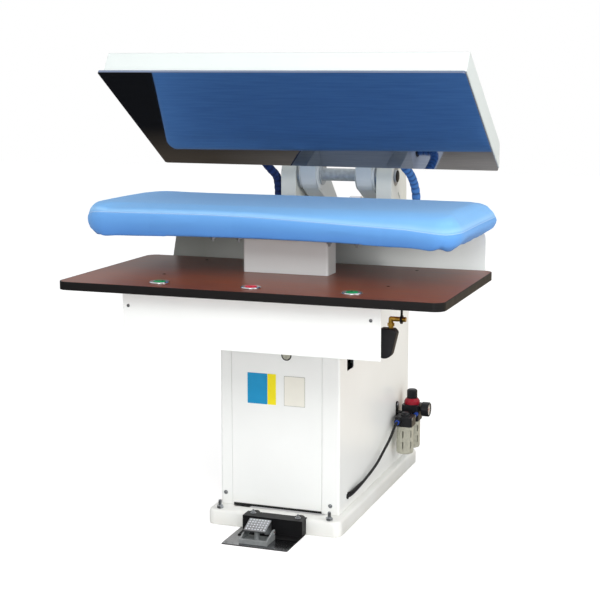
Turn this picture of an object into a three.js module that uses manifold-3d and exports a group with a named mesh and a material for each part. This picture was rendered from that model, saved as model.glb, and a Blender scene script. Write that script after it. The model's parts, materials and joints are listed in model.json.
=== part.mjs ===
// Utility ironing press: padded buck on a neck, hinged steam head, worktable, air unit and foot pedal.
// Millimetres, +Z up, the operator stands at -Y. Y = 0 of the machine frame is the plinth's front edge,
// and one group at the end moves the origin to the bottom centre of the whole press.
import * as THREE from "three";
import { mergeVertices } from "three/addons/utils/BufferGeometryUtils.js";
import Module from "manifold-3d";

const wasm = await Module();
wasm.setup();

// Driving dimensions: shared clearances and overruns
const gap = 0.3; // between pieces that touch
const running = 0.4; // radial clearance of a part that turns or slides
const overrun = 6; // how far a cutting tool passes the face that it cuts

// Driving dimensions: the frame on the floor
const plinth = { width: 434, depth: 903, height: 50, corner: 26, edge: 12, rail: 66, frontRail: 52 };
const foot = { inset: 15, sideInset: 38, stud: 5, proud: 27, clear: 6, nut: 11, nutHeight: 9, chamfer: 1.5 };
const cabinet = { width: 389, front: 63, rear: 849, top: 755, wall: 3, corner: 7 };
const doorway = { left: 38, right: 56, sill: 58, head: 735 };
const door = { fold: 20, sheet: 2 };
const lock = { x: 24, z: 539, face: 13, barrel: 9, proud: 3, length: 26, slot: 2.4, slotDeep: 1.5, cam: 34, camWide: 14, camThick: 3 };
const backDoor = { margin: 34, sill: 96, head: 700, lap: 14, sheet: 2 };
const louvre = { count: 5, width: 150, height: 7, pitch: 24, top: 640 };
const deckSlot = { half: 52, front: 756, rear: 838 };
const handHole = { front: 137, rear: 205, bottom: 487, top: 528, corner: 6 };

// Driving dimensions: posts, shaft and the swinging head
const pivot = { y: 660, z: 1044 };
const openAngle = THREE.MathUtils.degToRad(32.4); // the head stands open, as it rests
const post = { inner: 141.5, front: 604, rear: 795, shoulder: 62, bore: 32 };
const postSlot = { radius: 4, behind: 31, below: 59, runBack: 20, runDown: 18 };
const shaft = { radius: 21.5, proud: 4, chamfer: 3 };
const bearing = { flange: 48, flangeThick: 8, collar: 36, collarThick: 4 };
const lever = { inner: 70, outer: 126, hubInner: 65, hub: 56, bend: 46, tip: 36, tailRound: 28 };
const leverRun = { bendAhead: 108 }; // from the pivot, with the head closed
const tail = { reach: 205, drop: THREE.MathUtils.degToRad(35) };
const tie = { radius: 15 };
const plate = { length: 1149, shift: -3.5, depth: 571, thick: 8, front: -61, closed: 993, corner: 8 };
const cover = { length: 1132, shift: 7, high: 75, frontInset: 4, rearSetback: 43, sheet: 2.5, corner: 8 };
const chest = { endMargin: 44.5, sideMargin: 43.5, high: 34, floor: 8, rib: 9, cellsAlong: 8, cellsDeep: 3, corner: 14 };
const bridge = { length: 680, depth: 120, high: 41, sheet: 5 };
const headShares = { bridge: 0.6239, leverTip: 0.4333 }; // of the plate's depth, behind its front edge

// Driving dimensions: table, controls and buck
const table = { length: 1173, front: -249, rear: 395, thick: 25, corner: 34, band: 3 };
const button = { y: -166, ring: 30, ringHigh: 3.5, ringChamfer: 2, sleeve: 21, sleeveDrop: 14, cap: 18.5, capHigh: 2.4, capDeep: 7, travel: 4 };
const buttonNames = ["left", "centre", "right"];
const buttonX = { left: -288, centre: 0, right: 304 };
const apron = { length: 793, front: -192, bottom: 597, sheet: 2.5, flange: 74 };
const neck = { width: 276, front: 117, depth: 81, sheet: 2, corner: 8 };
const support = { width: 200, inset: 13, wall: 6 };
const tray = { bottom: 899, high: 36, pocket: 22, rim: 10, web: 8 };
const pad = { length: 1208, depth: 556, shift: -27, centre: 248, corner: 80, rearCorner: 42, ridge: 959, crown: 991.5, hem: 890 };
const padSide = {
  ridgeInset: 6, seam: 3, seamHalf: 3, bulge: 934, bulgeIn: 2, hemInX: 50, hemInY: 9, hemThick: 12, hemLift: 7, drawIn: 6,
};
const padTop = { shoulder: 13, steps: [0, 7, 18, 36, 70, 120, 180] }; // rise of the shoulder, insets of its rings
const padShares = { shoulder: [0, 0.42, 0.75, 0.93, 1, 1, 1], arch: 3.5 }; // of the shoulder's rise at each inset
const guard = { left: -559, leftTop: -541, right: 534, y: 513, top: 888, sheet: 3, corner: 26, foot: 46, footHalf: 178, lip: 12 };

// Driving dimensions: air cylinder and valve
const cylinder = { pivotY: 730, pivotZ: 360, bore: 40, wall: 4, base: 42, length: 250, cap: 20, capOver: 5, lug: 14, lugHalf: 11, pin: 8 };
const rod = { radius: 12, piston: 26, start: 12, eye: 33, eyeHalf: 20, slack: 5.5, eyeAhead: 4.5, ring: 0.35 };
const mount = { depth: 64, bottom: 300, high: 18, ear: 8, earRound: 20 };
const valve = { y: 330, z: 250, depth: 46, width: 120, high: 66, port: 9, portProud: 12, ports: 3 };

// Driving dimensions: air unit on the side wall
const unit = { x: 238, front: 655, rear: 742, half: 30, corner: 7 };
const bowl = { bottom: 97, top: 194, radius: 29, wall: 2.5, round: 7, slotWide: 4, slotHigh: 24, slotsAround: 6, slotGap: 14 };
const lubricator = { high: 34, dome: 15, domeHigh: 12, portAside: 16 };
const regulator = { high: 56, ringHigh: 20, ringTop: 21, ringLow: 27, knob: 18, knobHigh: 31, knobRound: 4, flutes: 12, flute: 2.2 };
const bracket = { sheet: 4, front: 686, rear: 711, bottom: 200, high: 66, lug: 13, arm: 12, armZ: 206, armHigh: 24, screw: 4 };
const gauge = { z: 234, radius: 25, length: 27, stem: 8, stemLong: 6, rim: 2, recess: 6 };
const needle = { hub: 3, length: 18, tailLong: 6, half: 1, thick: 1.2, post: 1.5, zeroTurn: 135 }; // zeroTurn in degrees
const port = { radius: 12, length: 14, z: 213 };
const airHose = { radius: 4.5, entryY: 144, entryZ: 89, hole: 6.5 };
const airHoseRouteShares = [ // of the way inwards, forwards and down, from the unit to the wall
  [0, 0.025, 0], [0.2, 0.15, 0.33], [0.34, 0.27, 0.53], [0.42, 0.41, 0.715], [0.5, 0.56, 0.83],
  [0.56, 0.7, 0.9], [0.62, 0.86, 0.96], [0.74, 0.97, 0.99], [0.92, 1, 1],
];

// Driving dimensions: steam hoses from the cabinet to the rear of the head
const steamHose = { radius: 14, wallY: 656, wallZ: 690, hole: 16, headX: 240 };
const steamHoseRouteShares = { // of the way outwards, forwards and up, from the wall to the head
  left: [
    [0.15, 0, 0], [0.42, 0, 0.015], [0.54, 0, 0.08], [0.54, 0, 0.43], [0.54, 0.04, 0.64],
    [0.47, 0.236, 0.783], [0.63, 0.49, 0.847], [0.9, 0.68, 0.91], [1.01, 0.84, 0.975], [1, 0.94, 1],
  ],
  right: [
    [0.3, 0, 0], [1.25, 0, 0.015], [1.59, 0, 0.09], [1.59, 0, 0.43], [1.59, 0.04, 0.666],
    [1.52, 0.13, 0.75], [1.44, 0.39, 0.833], [1.2, 0.66, 0.9], [1.02, 0.84, 0.97], [1, 0.94, 1],
  ],
};

// Driving dimensions: spray gun under the table
const gun = { y: -100, pipeX: 399, pipeZ: 703, pipe: 7, nut: 10.5, nutHigh: 9, nutZ: 682, topZ: 676, thick: 34, bevel: 5 };
const gunHolder = { x: 430, ring: 13, thick: 5, stem: 4, foot: 20, footThick: 3 };
const gunProfile = { left: 364, right: 419, bottom: 589, heel: 34, shoulder: 14 };
const trigger = { head: 5.5, headZ: 664, length: 52, lean: 9, thick: 2.6, wide: 16 };

// Driving dimensions: foot pedal
const pedalPlate = { left: -102, right: 108, front: -162, thick: 3, corner: 4 };
const pedalGuard = { left: -83, right: 110, front: -37, toe: -77, rear: 24, sheet: 3, boltX: 73, lobe: 17, saddle: 9 };
const pedal = { x: -6, halfWidth: 45, front: -148, rear: -78, base: 6, cheek: 5, cheekHigh: 31, cheekLow: 15, stem: 8, stemHigh: 31 };
const hinge = { y: -88, z: 24, radius: 3.5, nut: 6.5, nutThick: 4 };
const treadle = { half: 35, top: 5, front: -134, frontZ: 43, rear: -82, rearZ: 63, skirt: 3, skirtDrop: 8 };

// Values that follow from the driving dimensions
const half = (value) => value / 2;
const middleX = half(pad.shift - half(pad.length) + half(table.length)); // from the pad's end to the table's
const middleY = half(table.front + plinth.depth); // from the table's front to the plinth's rear
const sideX = half(cabinet.width);
const tableTop = cabinet.top + gap + table.thick;
const wallOutside = sideX + gap;
const unitFront = unit.front - unit.half;

// The cylinder's rest pose: its eye stands a little beyond the levers' cross pin, in a bore with room,
// because the pin swings on an arc while the eye takes a nearly straight way
const eyeReach = tail.reach + rod.eyeAhead;
const eyeY = pivot.y + eyeReach * Math.cos(tail.drop) - cylinder.pivotY;
const eyeZ = pivot.z - eyeReach * Math.sin(tail.drop) - cylinder.pivotZ;
const ramLength = Math.hypot(eyeY, eyeZ);
const ramLean = Math.atan2(eyeY, eyeZ);

// Materials
const paint = (color, roughness = 0.45, metalness = 0.05) =>
  new THREE.MeshStandardMaterial({ color, roughness, metalness });
const finish = {
  whitePaint: paint(0xe9ece8),
  creamPaint: paint(0xd9dbc9),
  greyPaint: paint(0xbfc5c6),
  blackPaint: paint(0x141416, 0.5),
  blackPlastic: paint(0x16171b, 0.4, 0),
  laminate: paint(0x6a3126, 0.4, 0),
  edging: paint(0x17120f, 0.5, 0),
  padCloth: paint(0x6f9fe0, 0.9, 0),
  hoseCloth: paint(0x2a5fae, 0.9, 0),
  darkHoseCloth: paint(0x1c2748, 0.9, 0),
  polished: paint(0xb9bcc0, 0.12, 1),
  steel: paint(0x9a9da0, 0.35, 0.9),
  chrome: paint(0xd5d8dc, 0.15, 1),
  cast: paint(0xa9adb0, 0.5, 0.8),
  brass: paint(0xb98a2c, 0.3, 0.9),
  green: paint(0x0d7a45, 0.4, 0),
  red: paint(0xc8182e, 0.4, 0),
  bowlMetal: paint(0xb7b8a6, 0.4, 0.7),
};

// Solids and geometry
function solid(geometry) {
  const bare = geometry.clone();
  bare.deleteAttribute("normal");
  bare.deleteAttribute("uv");
  const merged = mergeVertices(bare, 1e-4);
  return new wasm.Manifold(
    new wasm.Mesh({
      numProp: 3,
      vertProperties: new Float32Array(merged.attributes.position.array),
      triVerts: new Uint32Array(merged.index.array),
    }),
  );
}

function geometryOf(body) {
  const mesh = body.getMesh();
  const geometry = new THREE.BufferGeometry();
  const places = new Float32Array(mesh.numVert * 3);
  for (let i = 0; i < mesh.numVert; i++)
    for (let k = 0; k < 3; k++) places[i * 3 + k] = mesh.vertProperties[i * mesh.numProp + k];
  geometry.setAttribute("position", new THREE.BufferAttribute(places, 3));
  geometry.setIndex(new THREE.BufferAttribute(new Uint32Array(mesh.triVerts), 1));
  geometry.computeVertexNormals();
  return geometry;
}

const join = (...bodies) => bodies.reduce((sum, body) => sum.add(body));
const cut = (body, ...tools) => tools.reduce((rest, tool) => rest.subtract(tool), body);

// A box from its low and high corners
function block(x0, x1, y0, y1, z0, z1) {
  const box = new THREE.BoxGeometry(x1 - x0, y1 - y0, z1 - z0);
  box.translate(half(x0 + x1), half(y0 + y1), half(z0 + z1));
  return solid(box);
}

// Shapes are drawn in two axes and pushed along the third
const frames = {
  X: [new THREE.Vector3(0, 1, 0), new THREE.Vector3(0, 0, 1), new THREE.Vector3(1, 0, 0)],
  Y: [new THREE.Vector3(0, 0, 1), new THREE.Vector3(1, 0, 0), new THREE.Vector3(0, 1, 0)],
  Z: [new THREE.Vector3(1, 0, 0), new THREE.Vector3(0, 1, 0), new THREE.Vector3(0, 0, 1)],
};

function extrude(shape, axis, from, to, bevel = 0, steps = 3, curveSegments = 8) {
  const geometry = new THREE.ExtrudeGeometry(shape, {
    depth: to - from - bevel * 2,
    bevelEnabled: bevel > 0,
    bevelThickness: bevel,
    bevelSize: bevel,
    bevelOffset: -bevel,
    bevelSegments: steps,
    curveSegments,
  });
  geometry.translate(0, 0, from + bevel);
  geometry.applyMatrix4(new THREE.Matrix4().makeBasis(...frames[axis]));
  return solid(geometry);
}

// A turned solid from a profile of [radius, height] pairs, standing on an axis
function turn(profile, axis = "Z", segments = 24) {
  const points = profile.map(([r, h]) => new THREE.Vector2(r, h));
  const lathe = new THREE.LatheGeometry(points, segments);
  lathe.rotateX(half(Math.PI));
  lathe.applyMatrix4(new THREE.Matrix4().makeBasis(...frames[axis]));
  return solid(lathe);
}

const rodAlong = (axis, radius, from, to, segments = 24) =>
  turn([[0, from], [radius, from], [radius, to], [0, to]], axis, segments);

function roundedRectangle(x0, x1, y0, y1, radius) {
  const shape = new THREE.Shape();
  shape.moveTo(x0 + radius, y0);
  shape.lineTo(x1 - radius, y0);
  shape.absarc(x1 - radius, y0 + radius, radius, -half(Math.PI), 0, false);
  shape.lineTo(x1, y1 - radius);
  shape.absarc(x1 - radius, y1 - radius, radius, 0, half(Math.PI), false);
  shape.lineTo(x0 + radius, y1);
  shape.absarc(x0 + radius, y1 - radius, radius, half(Math.PI), Math.PI, false);
  shape.lineTo(x0, y0 + radius);
  shape.absarc(x0 + radius, y0 + radius, radius, Math.PI, Math.PI * 1.5, false);
  return shape;
}

function polygon(points) {
  const shape = new THREE.Shape();
  points.forEach(([a, b], i) => (i ? shape.lineTo(a, b) : shape.moveTo(a, b)));
  shape.closePath();
  return shape;
}

function disc(radius, a = 0, b = 0) {
  const shape = new THREE.Shape();
  shape.absarc(a, b, radius, 0, Math.PI * 2, false);
  return shape;
}

function hexagon(radius) {
  const corners = [];
  for (let i = 0; i < 6; i++)
    corners.push([radius * Math.cos((i * Math.PI) / 3), radius * Math.sin((i * Math.PI) / 3)]);
  return polygon(corners);
}

// The outline of a bar whose two ends are circles of unlike size, by the tangents of both
function taperedBar([ax, ay, ar], [bx, by, br], arcSteps = 8) {
  const along = Math.atan2(by - ay, bx - ax);
  const tilt = Math.acos((ar - br) / Math.hypot(bx - ax, by - ay));
  const points = [];
  const arc = (x, y, r, from, to) => {
    for (let i = 0; i <= arcSteps; i++) {
      const angle = from + ((to - from) * i) / arcSteps;
      points.push([x + r * Math.cos(angle), y + r * Math.sin(angle)]);
    }
  };
  arc(bx, by, br, along - tilt, along + tilt);
  arc(ax, ay, ar, along + tilt, along + Math.PI * 2 - tilt);
  return polygon(points);
}

// A round tube or bar along a curve
function along(points, radius, steps, sides = 10) {
  const curve = new THREE.CatmullRomCurve3(points, false, "centripetal");
  const section = new THREE.Shape();
  for (let i = 0; i < sides; i++) {
    const angle = (i * Math.PI * 2) / sides;
    const place = [radius * Math.cos(angle), radius * Math.sin(angle)];
    if (i) section.lineTo(...place);
    else section.moveTo(...place);
  }
  section.closePath();
  return solid(new THREE.ExtrudeGeometry(section, { steps, extrudePath: curve, bevelEnabled: false }));
}

// The whole press, then its groups
const press = new THREE.Group();
const machine = new THREE.Group();
machine.position.set(-middleX, -middleY, 0);
press.add(machine);

function place(parent, name, body, material) {
  const mesh = new THREE.Mesh(geometryOf(body), material);
  mesh.name = name;
  parent.add(mesh);
  return mesh;
}

// Plinth: a welded frame of rails with softened top edges, open in the middle
function makePlinth() {
  const outline = roundedRectangle(-half(plinth.width), half(plinth.width), 0, plinth.depth, plinth.corner);
  const body = extrude(outline, "Z", -plinth.edge, plinth.height, plinth.edge, 2, 4);
  const inner = half(plinth.width) - plinth.rail;
  const well = roundedRectangle(-inner, inner, plinth.frontRail, plinth.depth - plinth.frontRail, plinth.edge);
  const below = block(-plinth.width, plinth.width, -plinth.rail, plinth.depth + plinth.rail, -plinth.height, 0);
  const holes = footPlaces().map(([x, y]) =>
    rodAlong("Z", foot.stud + gap, -overrun, plinth.height + overrun, 16).translate(x, y, 0),
  );
  const middle = extrude(well, "Z", -overrun, plinth.height + overrun, 0, 1, 3);
  place(machine, "base_plinth", cut(body, middle, below, ...holes), finish.whitePaint);
}

function footPlaces() {
  const x = half(plinth.width) - foot.sideInset;
  return [[-x, foot.inset], [x, foot.inset], [-x, plinth.depth - foot.inset], [x, plinth.depth - foot.inset]];
}

// Levelling screws with their lock nuts, one in each corner of the plinth
function makeFeet() {
  const names = ["front_left", "front_right", "rear_left", "rear_right"];
  const top = plinth.height + foot.proud;
  footPlaces().forEach(([x, y], i) => {
    const stud = turn([
      [0, foot.clear], [foot.stud - foot.chamfer, foot.clear], [foot.stud, foot.clear + foot.chamfer],
      [foot.stud, top - foot.chamfer], [foot.stud - foot.chamfer, top], [0, top],
    ], "Z", 16);
    const seat = plinth.height + gap;
    const nut = extrude(hexagon(foot.nut), "Z", seat, seat + foot.nutHeight, foot.chamfer, 1);
    place(machine, "levelling_screw_" + names[i], join(stud, nut).translate(x, y, 0), finish.steel);
  });
}

// Cabinet: one folded sheet shell with front flanges, a deck on top and openings for the two covers
function makeCabinet() {
  const { front, rear, top, wall, corner } = cabinet;
  const bottom = plinth.height + gap;
  const outside = extrude(roundedRectangle(-sideX, sideX, front, rear, corner), "Z", bottom, top, 0, 1, 4);
  const inX = sideX - wall;
  const inside = block(-inX, inX, front + wall, rear - wall, bottom - overrun, top - wall);
  const doorHole = block(-sideX + doorway.left, sideX - doorway.right, front - overrun, front + wall + overrun,
    doorway.sill, doorway.head);
  const backHole = block(-sideX + backDoor.margin, sideX - backDoor.margin, rear - wall - overrun, rear + overrun,
    backDoor.sill, backDoor.head);
  const slot = block(-deckSlot.half, deckSlot.half, deckSlot.front, deckSlot.rear, top - wall - overrun, top + overrun);
  const hand = extrude(
    roundedRectangle(handHole.front, handHole.rear, handHole.bottom, handHole.top, handHole.corner),
    "X", inX - overrun, sideX + overrun, 0, 1, 2);
  const through = (radius, y, z, x0, x1) => rodAlong("X", radius, x0, x1, 16).translate(0, y, z);
  const hoseHole = through(airHose.hole, airHose.entryY, airHose.entryZ, inX - overrun, sideX + overrun);
  const steamHoles = through(steamHose.hole, steamHose.wallY, steamHose.wallZ, -sideX - overrun, sideX + overrun);
  place(machine, "cabinet_shell",
    cut(outside, inside, doorHole, backHole, slot, hand, hoseHole, steamHoles), finish.whitePaint);
}

// Front cover: a shallow pan that sits in the doorway, with a hole for its lock
function makeDoor() {
  const x0 = -sideX + doorway.left + running;
  const x1 = sideX - doorway.right - running;
  const z0 = doorway.sill + running;
  const z1 = doorway.head - running;
  const y0 = cabinet.front;
  const pan = extrude(roundedRectangle(z0, z1, x0, x1, door.sheet), "Y", y0, y0 + door.fold, 0, 1, 2);
  const hollow = block(x0 + door.sheet, x1 - door.sheet, y0 + door.sheet, y0 + door.fold + overrun,
    z0 + door.sheet, z1 - door.sheet);
  const lockHole = rodAlong("Y", lock.barrel + running, y0 - overrun, y0 + door.sheet + overrun, 20)
    .translate(lock.x, 0, lock.z);
  place(machine, "front_cover", cut(pan, hollow, lockHole), finish.whitePaint);
}

// Cam lock of the front cover: a slotted barrel with a flange outside and a cam behind the sheet
function makeLock() {
  const face = cabinet.front - gap;
  const barrel = turn([
    [0, face - lock.proud], [lock.face - lock.slotDeep, face - lock.proud], [lock.face, face - lock.slotDeep],
    [lock.face, face], [lock.barrel, face], [lock.barrel, face + lock.length], [0, face + lock.length],
  ], "Y", 20);
  const slot = block(-half(lock.slot), half(lock.slot), face - lock.proud - overrun,
    face - lock.proud + lock.slotDeep, -half(lock.face), half(lock.face));
  const camBar = taperedBar([0, 0, lock.barrel], [-lock.cam, 0, half(lock.camWide)], 5);
  const cam = extrude(camBar, "Y", face + lock.length - lock.camThick, face + lock.length, 0, 1);
  place(machine, "panel_lock", join(cut(barrel, slot), cam).translate(lock.x, 0, lock.z), finish.steel);
}

// Rear cover: a flat lapped sheet with louvre slots
function makeBackDoor() {
  const x = sideX - backDoor.margin + backDoor.lap;
  const z0 = backDoor.sill - backDoor.lap;
  const z1 = backDoor.head + backDoor.lap;
  const y0 = cabinet.rear + gap;
  const sheet = extrude(roundedRectangle(z0, z1, -x, x, backDoor.lap), "Y", y0, y0 + backDoor.sheet, 0, 1, 3);
  const slots = [];
  for (let i = 0; i < louvre.count; i++) {
    const z = louvre.top - i * louvre.pitch;
    const r = half(louvre.height);
    slots.push(extrude(roundedRectangle(z - r, z + r, -half(louvre.width), half(louvre.width), r * 0.98), "Y",
      y0 - overrun, y0 + backDoor.sheet + overrun, 0, 1, 2));
  }
  place(machine, "rear_cover", cut(sheet, ...slots), finish.whitePaint);
}

// Posts: two uprights on the deck whose rounded heads hold the bearings
function makePosts() {
  const bottom = cabinet.top + gap;
  const shape = new THREE.Shape();
  const r = pivot.y - post.front;
  shape.moveTo(post.front, bottom);
  shape.lineTo(post.rear, bottom);
  shape.lineTo(post.rear, pivot.z - post.shoulder);
  shape.quadraticCurveTo(post.rear, pivot.z + half(r), pivot.y + r, pivot.z + r * 0.92);
  shape.quadraticCurveTo(pivot.y + half(r), pivot.z + r, pivot.y, pivot.z + r);
  shape.absarc(pivot.y, pivot.z, r, half(Math.PI), Math.PI, false);
  shape.closePath();
  const slotY = pivot.y + postSlot.behind;
  const slotZ = pivot.z - postSlot.below;
  const slotShape = taperedBar([slotY, slotZ, postSlot.radius],
    [slotY + postSlot.runBack, slotZ - postSlot.runDown, postSlot.radius], 5);
  for (const side of ["left", "right"]) {
    const sign = side === "left" ? -1 : 1;
    const x0 = sign < 0 ? -sideX : post.inner;
    const x1 = sign < 0 ? -post.inner : sideX;
    const body = extrude(shape, "X", x0, x1, 0, 1, 10);
    const bore = rodAlong("X", post.bore + gap, x0 - overrun, x1 + overrun, 24).translate(0, pivot.y, pivot.z);
    const slot = extrude(slotShape, "X", x0 - overrun, x1 + overrun);
    place(machine, "pivot_post_" + side, cut(body, bore, slot), finish.creamPaint);
    makeBearing(side, sign);
  }
}

// Flanged bearing bush in each post
function makeBearing(side, sign) {
  const inner = shaft.radius + running;
  const innerFace = post.inner - gap;
  const outerFace = sideX + gap;
  const bush = turn([
    [inner, innerFace - bearing.flangeThick], [bearing.flange, innerFace - bearing.flangeThick],
    [bearing.flange, innerFace], [post.bore, innerFace], [post.bore, outerFace], [inner, outerFace],
    [inner, innerFace - bearing.flangeThick],
  ], "X", 24);
  const body = sign < 0 ? bush.rotate([0, 180, 0]) : bush;
  place(machine, "bearing_" + side, body.translate(0, pivot.y, pivot.z), finish.steel);
}

// The head is drawn closed, level over the buck, and swung open about the pivot
const headSwing = new THREE.Group();
headSwing.position.set(0, pivot.y, pivot.z);
headSwing.rotation.x = -openAngle;
machine.add(headSwing);
const head = new THREE.Group();
head.position.set(0, -pivot.y, -pivot.z);
headSwing.add(head);

const plateRear = plate.front + plate.depth;
const plateTop = plate.closed + plate.thick;
const coverBottom = plateTop + gap;
const coverTop = plate.closed + cover.high;
const chestLength = plate.length - chest.endMargin - chest.endMargin;
const chestDepth = plate.depth - chest.sideMargin - chest.sideMargin;
const leverAlong = (angle, reach) => [pivot.y + reach * Math.cos(angle), pivot.z + reach * Math.sin(angle)];
const tailPlace = leverAlong(openAngle - tail.drop, tail.reach); // with the head closed

// Pressing plate, polished and radiused
function makePlate() {
  const x = half(plate.length);
  const outline = roundedRectangle(plate.shift - x, plate.shift + x, plate.front, plateRear, plate.corner);
  place(head, "pressing_plate", extrude(outline, "Z", plate.closed, plateTop, 0, 1, 4), finish.polished);
}

// Steam chest: a cast tray whose ribs make the steam's way over the plate
function makeChest() {
  const y0 = half(plate.front + plateRear) - half(chestDepth) - chest.rib;
  const x0 = -half(chestLength);
  const bottom = plateTop + gap;
  const body = extrude(roundedRectangle(x0, -x0, y0, y0 + chestDepth, chest.corner), "Z", bottom,
    bottom + chest.high, 0, 1, 3);
  const cellX = (chestLength - chest.rib) / chest.cellsAlong;
  const cellY = (chestDepth - chest.rib) / chest.cellsDeep;
  const cells = [];
  for (let i = 0; i < chest.cellsAlong; i++)
    for (let k = 0; k < chest.cellsDeep; k++) {
      const x = x0 + chest.rib + i * cellX;
      const y = y0 + chest.rib + k * cellY;
      cells.push(block(x, x + cellX - chest.rib, y, y + cellY - chest.rib, bottom + chest.floor,
        bottom + chest.high + overrun));
    }
  place(head, "steam_chest", cut(body, ...cells), finish.cast);
}

// Head cover: a folded sheet lid whose rear wall leans in, so that it stands upright when the head is open
function makeCover() {
  const section = (inset, low) => {
    const f = plate.front + cover.frontInset + inset;
    const b = plateRear - cover.frontInset - inset;
    const top = coverTop - inset;
    const lean = (cover.rearSetback * (top - low)) / (coverTop - coverBottom);
    const c = cover.corner;
    const shape = new THREE.Shape();
    shape.moveTo(f, low);
    shape.lineTo(b, low);
    shape.lineTo(b - lean * 0.88, top - c);
    shape.quadraticCurveTo(b - lean, top, b - lean - c, top);
    shape.lineTo(f + c, top);
    shape.quadraticCurveTo(f, top, f, top - c);
    shape.closePath();
    return shape;
  };
  const x0 = cover.shift - half(cover.length);
  const x1 = cover.shift + half(cover.length);
  const { sheet } = cover;
  const outer = extrude(section(0, coverBottom), "X", x0, x1, 0, 1, 4);
  const inner = extrude(section(sheet, coverBottom - overrun), "X", x0 + sheet, x1 - sheet, 0, 1, 4);
  place(head, "head_cover", cut(outer, inner), finish.whitePaint);
}

// Cross channel that ties the two levers to the cover
const bridgeFront = plate.front + plate.depth * headShares.bridge - half(bridge.depth);
const bridgeTop = coverTop + gap + bridge.high;
function makeBridge() {
  const x = half(bridge.length);
  const z0 = coverTop + gap;
  const body = block(-x, x, bridgeFront, bridgeFront + bridge.depth, z0, bridgeTop);
  const hollow = block(-x - overrun, x + overrun, bridgeFront + bridge.sheet,
    bridgeFront + bridge.depth - bridge.sheet, z0 - overrun, bridgeTop - bridge.sheet);
  place(head, "head_bridge", cut(body, hollow), finish.greyPaint);
}

// Levers: cranked arms from the cross channel over the head, round the shaft and down to the cylinder
function makeLevers() {
  const bend = [pivot.y - leverRun.bendAhead, bridgeTop + gap + lever.bend, lever.bend];
  const tip = [plate.front + plate.depth * headShares.leverTip, bridgeTop + gap + lever.tip, lever.tip];
  const hub = [pivot.y, pivot.z, lever.hub];
  const end = [...tailPlace, lever.tailRound];
  for (const side of ["left", "right"]) {
    const sign = side === "left" ? -1 : 1;
    const [x0, x1] = sign < 0 ? [-lever.outer, -lever.inner] : [lever.inner, lever.outer];
    const arm = join(
      extrude(taperedBar(hub, bend), "X", x0, x1),
      extrude(taperedBar(bend, tip), "X", x0, x1),
      extrude(taperedBar(hub, end), "X", x0, x1),
    );
    const hubOuter = post.inner - gap - bearing.flangeThick - gap;
    const [h0, h1] = sign < 0 ? [-hubOuter, -lever.hubInner] : [lever.hubInner, hubOuter];
    const boss = rodAlong("X", lever.hub - bearing.collarThick, h0, h1, 24).translate(0, pivot.y, pivot.z);
    const bore = rodAlong("X", shaft.radius + gap, h0 - overrun, h1 + overrun, 20).translate(0, pivot.y, pivot.z);
    const pinHole = rodAlong("X", tie.radius + gap, x0 - overrun, x1 + overrun, 20).translate(0, ...tailPlace);
    place(head, "lever_" + side, cut(join(arm, boss), bore, pinHole), finish.greyPaint);
  }
}

// Pivot shaft with a bright collar against each hub
function makeShaft() {
  const end = sideX + gap + shaft.proud;
  const { radius, chamfer } = shaft;
  const c1 = lever.hubInner - gap;
  const c0 = c1 - bearing.collarThick;
  const half1 = [[radius, c0], [bearing.collar, c0], [bearing.collar, c1], [radius, c1],
    [radius, end - chamfer], [radius - chamfer, end], [0, end]];
  const half0 = half1.slice().reverse().map(([r, x]) => [r, -x]);
  const body = turn([...half0, ...half1], "X", 20);
  place(head, "pivot_shaft", body.translate(0, pivot.y, pivot.z), finish.chrome);
}

// Cross pin between the lever tails, which the cylinder pushes
function makeTie() {
  const x = lever.outer + gap + tie.radius * 0.3;
  place(head, "lever_cross_pin", rodAlong("X", tie.radius, -x, x, 20).translate(0, ...tailPlace), finish.steel);
}

// Air cylinder, swung on its mount; its own +Z runs along the rod
const ram = new THREE.Group();
ram.position.set(0, cylinder.pivotY, cylinder.pivotZ);
ram.rotation.x = -ramLean;
machine.add(ram);

function makeCylinder() {
  const { bore, wall, base, length, cap, capOver } = cylinder;
  const outer = bore + wall;
  const big = outer + capOver;
  const top = base + length;
  const barrel = turn([
    [0, base], [big, base], [big, base + cap], [outer, base + cap], [outer, top - cap], [big, top - cap],
    [big, top], [rod.radius + running, top], [rod.radius + running, top - cap], [bore, top - cap],
    [bore, base + cap], [0, base + cap],
  ], "Z", 24);
  const lug = join(
    block(-cylinder.lugHalf, cylinder.lugHalf, -cylinder.lug, cylinder.lug, 0, base + wall),
    rodAlong("X", cylinder.lug, -cylinder.lugHalf, cylinder.lugHalf, 20),
    rodAlong("X", cylinder.pin, -earOuter - gap, earOuter + gap, 16),
  );
  place(ram, "air_cylinder", join(barrel, lug), finish.steel);
}

function makeRod() {
  const { base, cap, bore } = cylinder;
  const start = base + cap + rod.start;
  const shankTop = ramLength - rod.eye + rod.radius;
  const shank = turn([
    [0, start], [bore - rod.ring, start], [bore - rod.ring, start + rod.piston], [rod.radius, start + rod.piston],
    [rod.radius, shankTop], [0, shankTop],
  ], "Z", 24);
  const eye = rodAlong("X", rod.eye, -rod.eyeHalf, rod.eyeHalf, 28).translate(0, 0, ramLength);
  const hole = rodAlong("X", tie.radius + rod.slack, -rod.eyeHalf - overrun, rod.eyeHalf + overrun, 28)
    .translate(0, 0, ramLength);
  place(ram, "piston_rod", cut(join(shank, eye), hole), finish.chrome);
}

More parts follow.
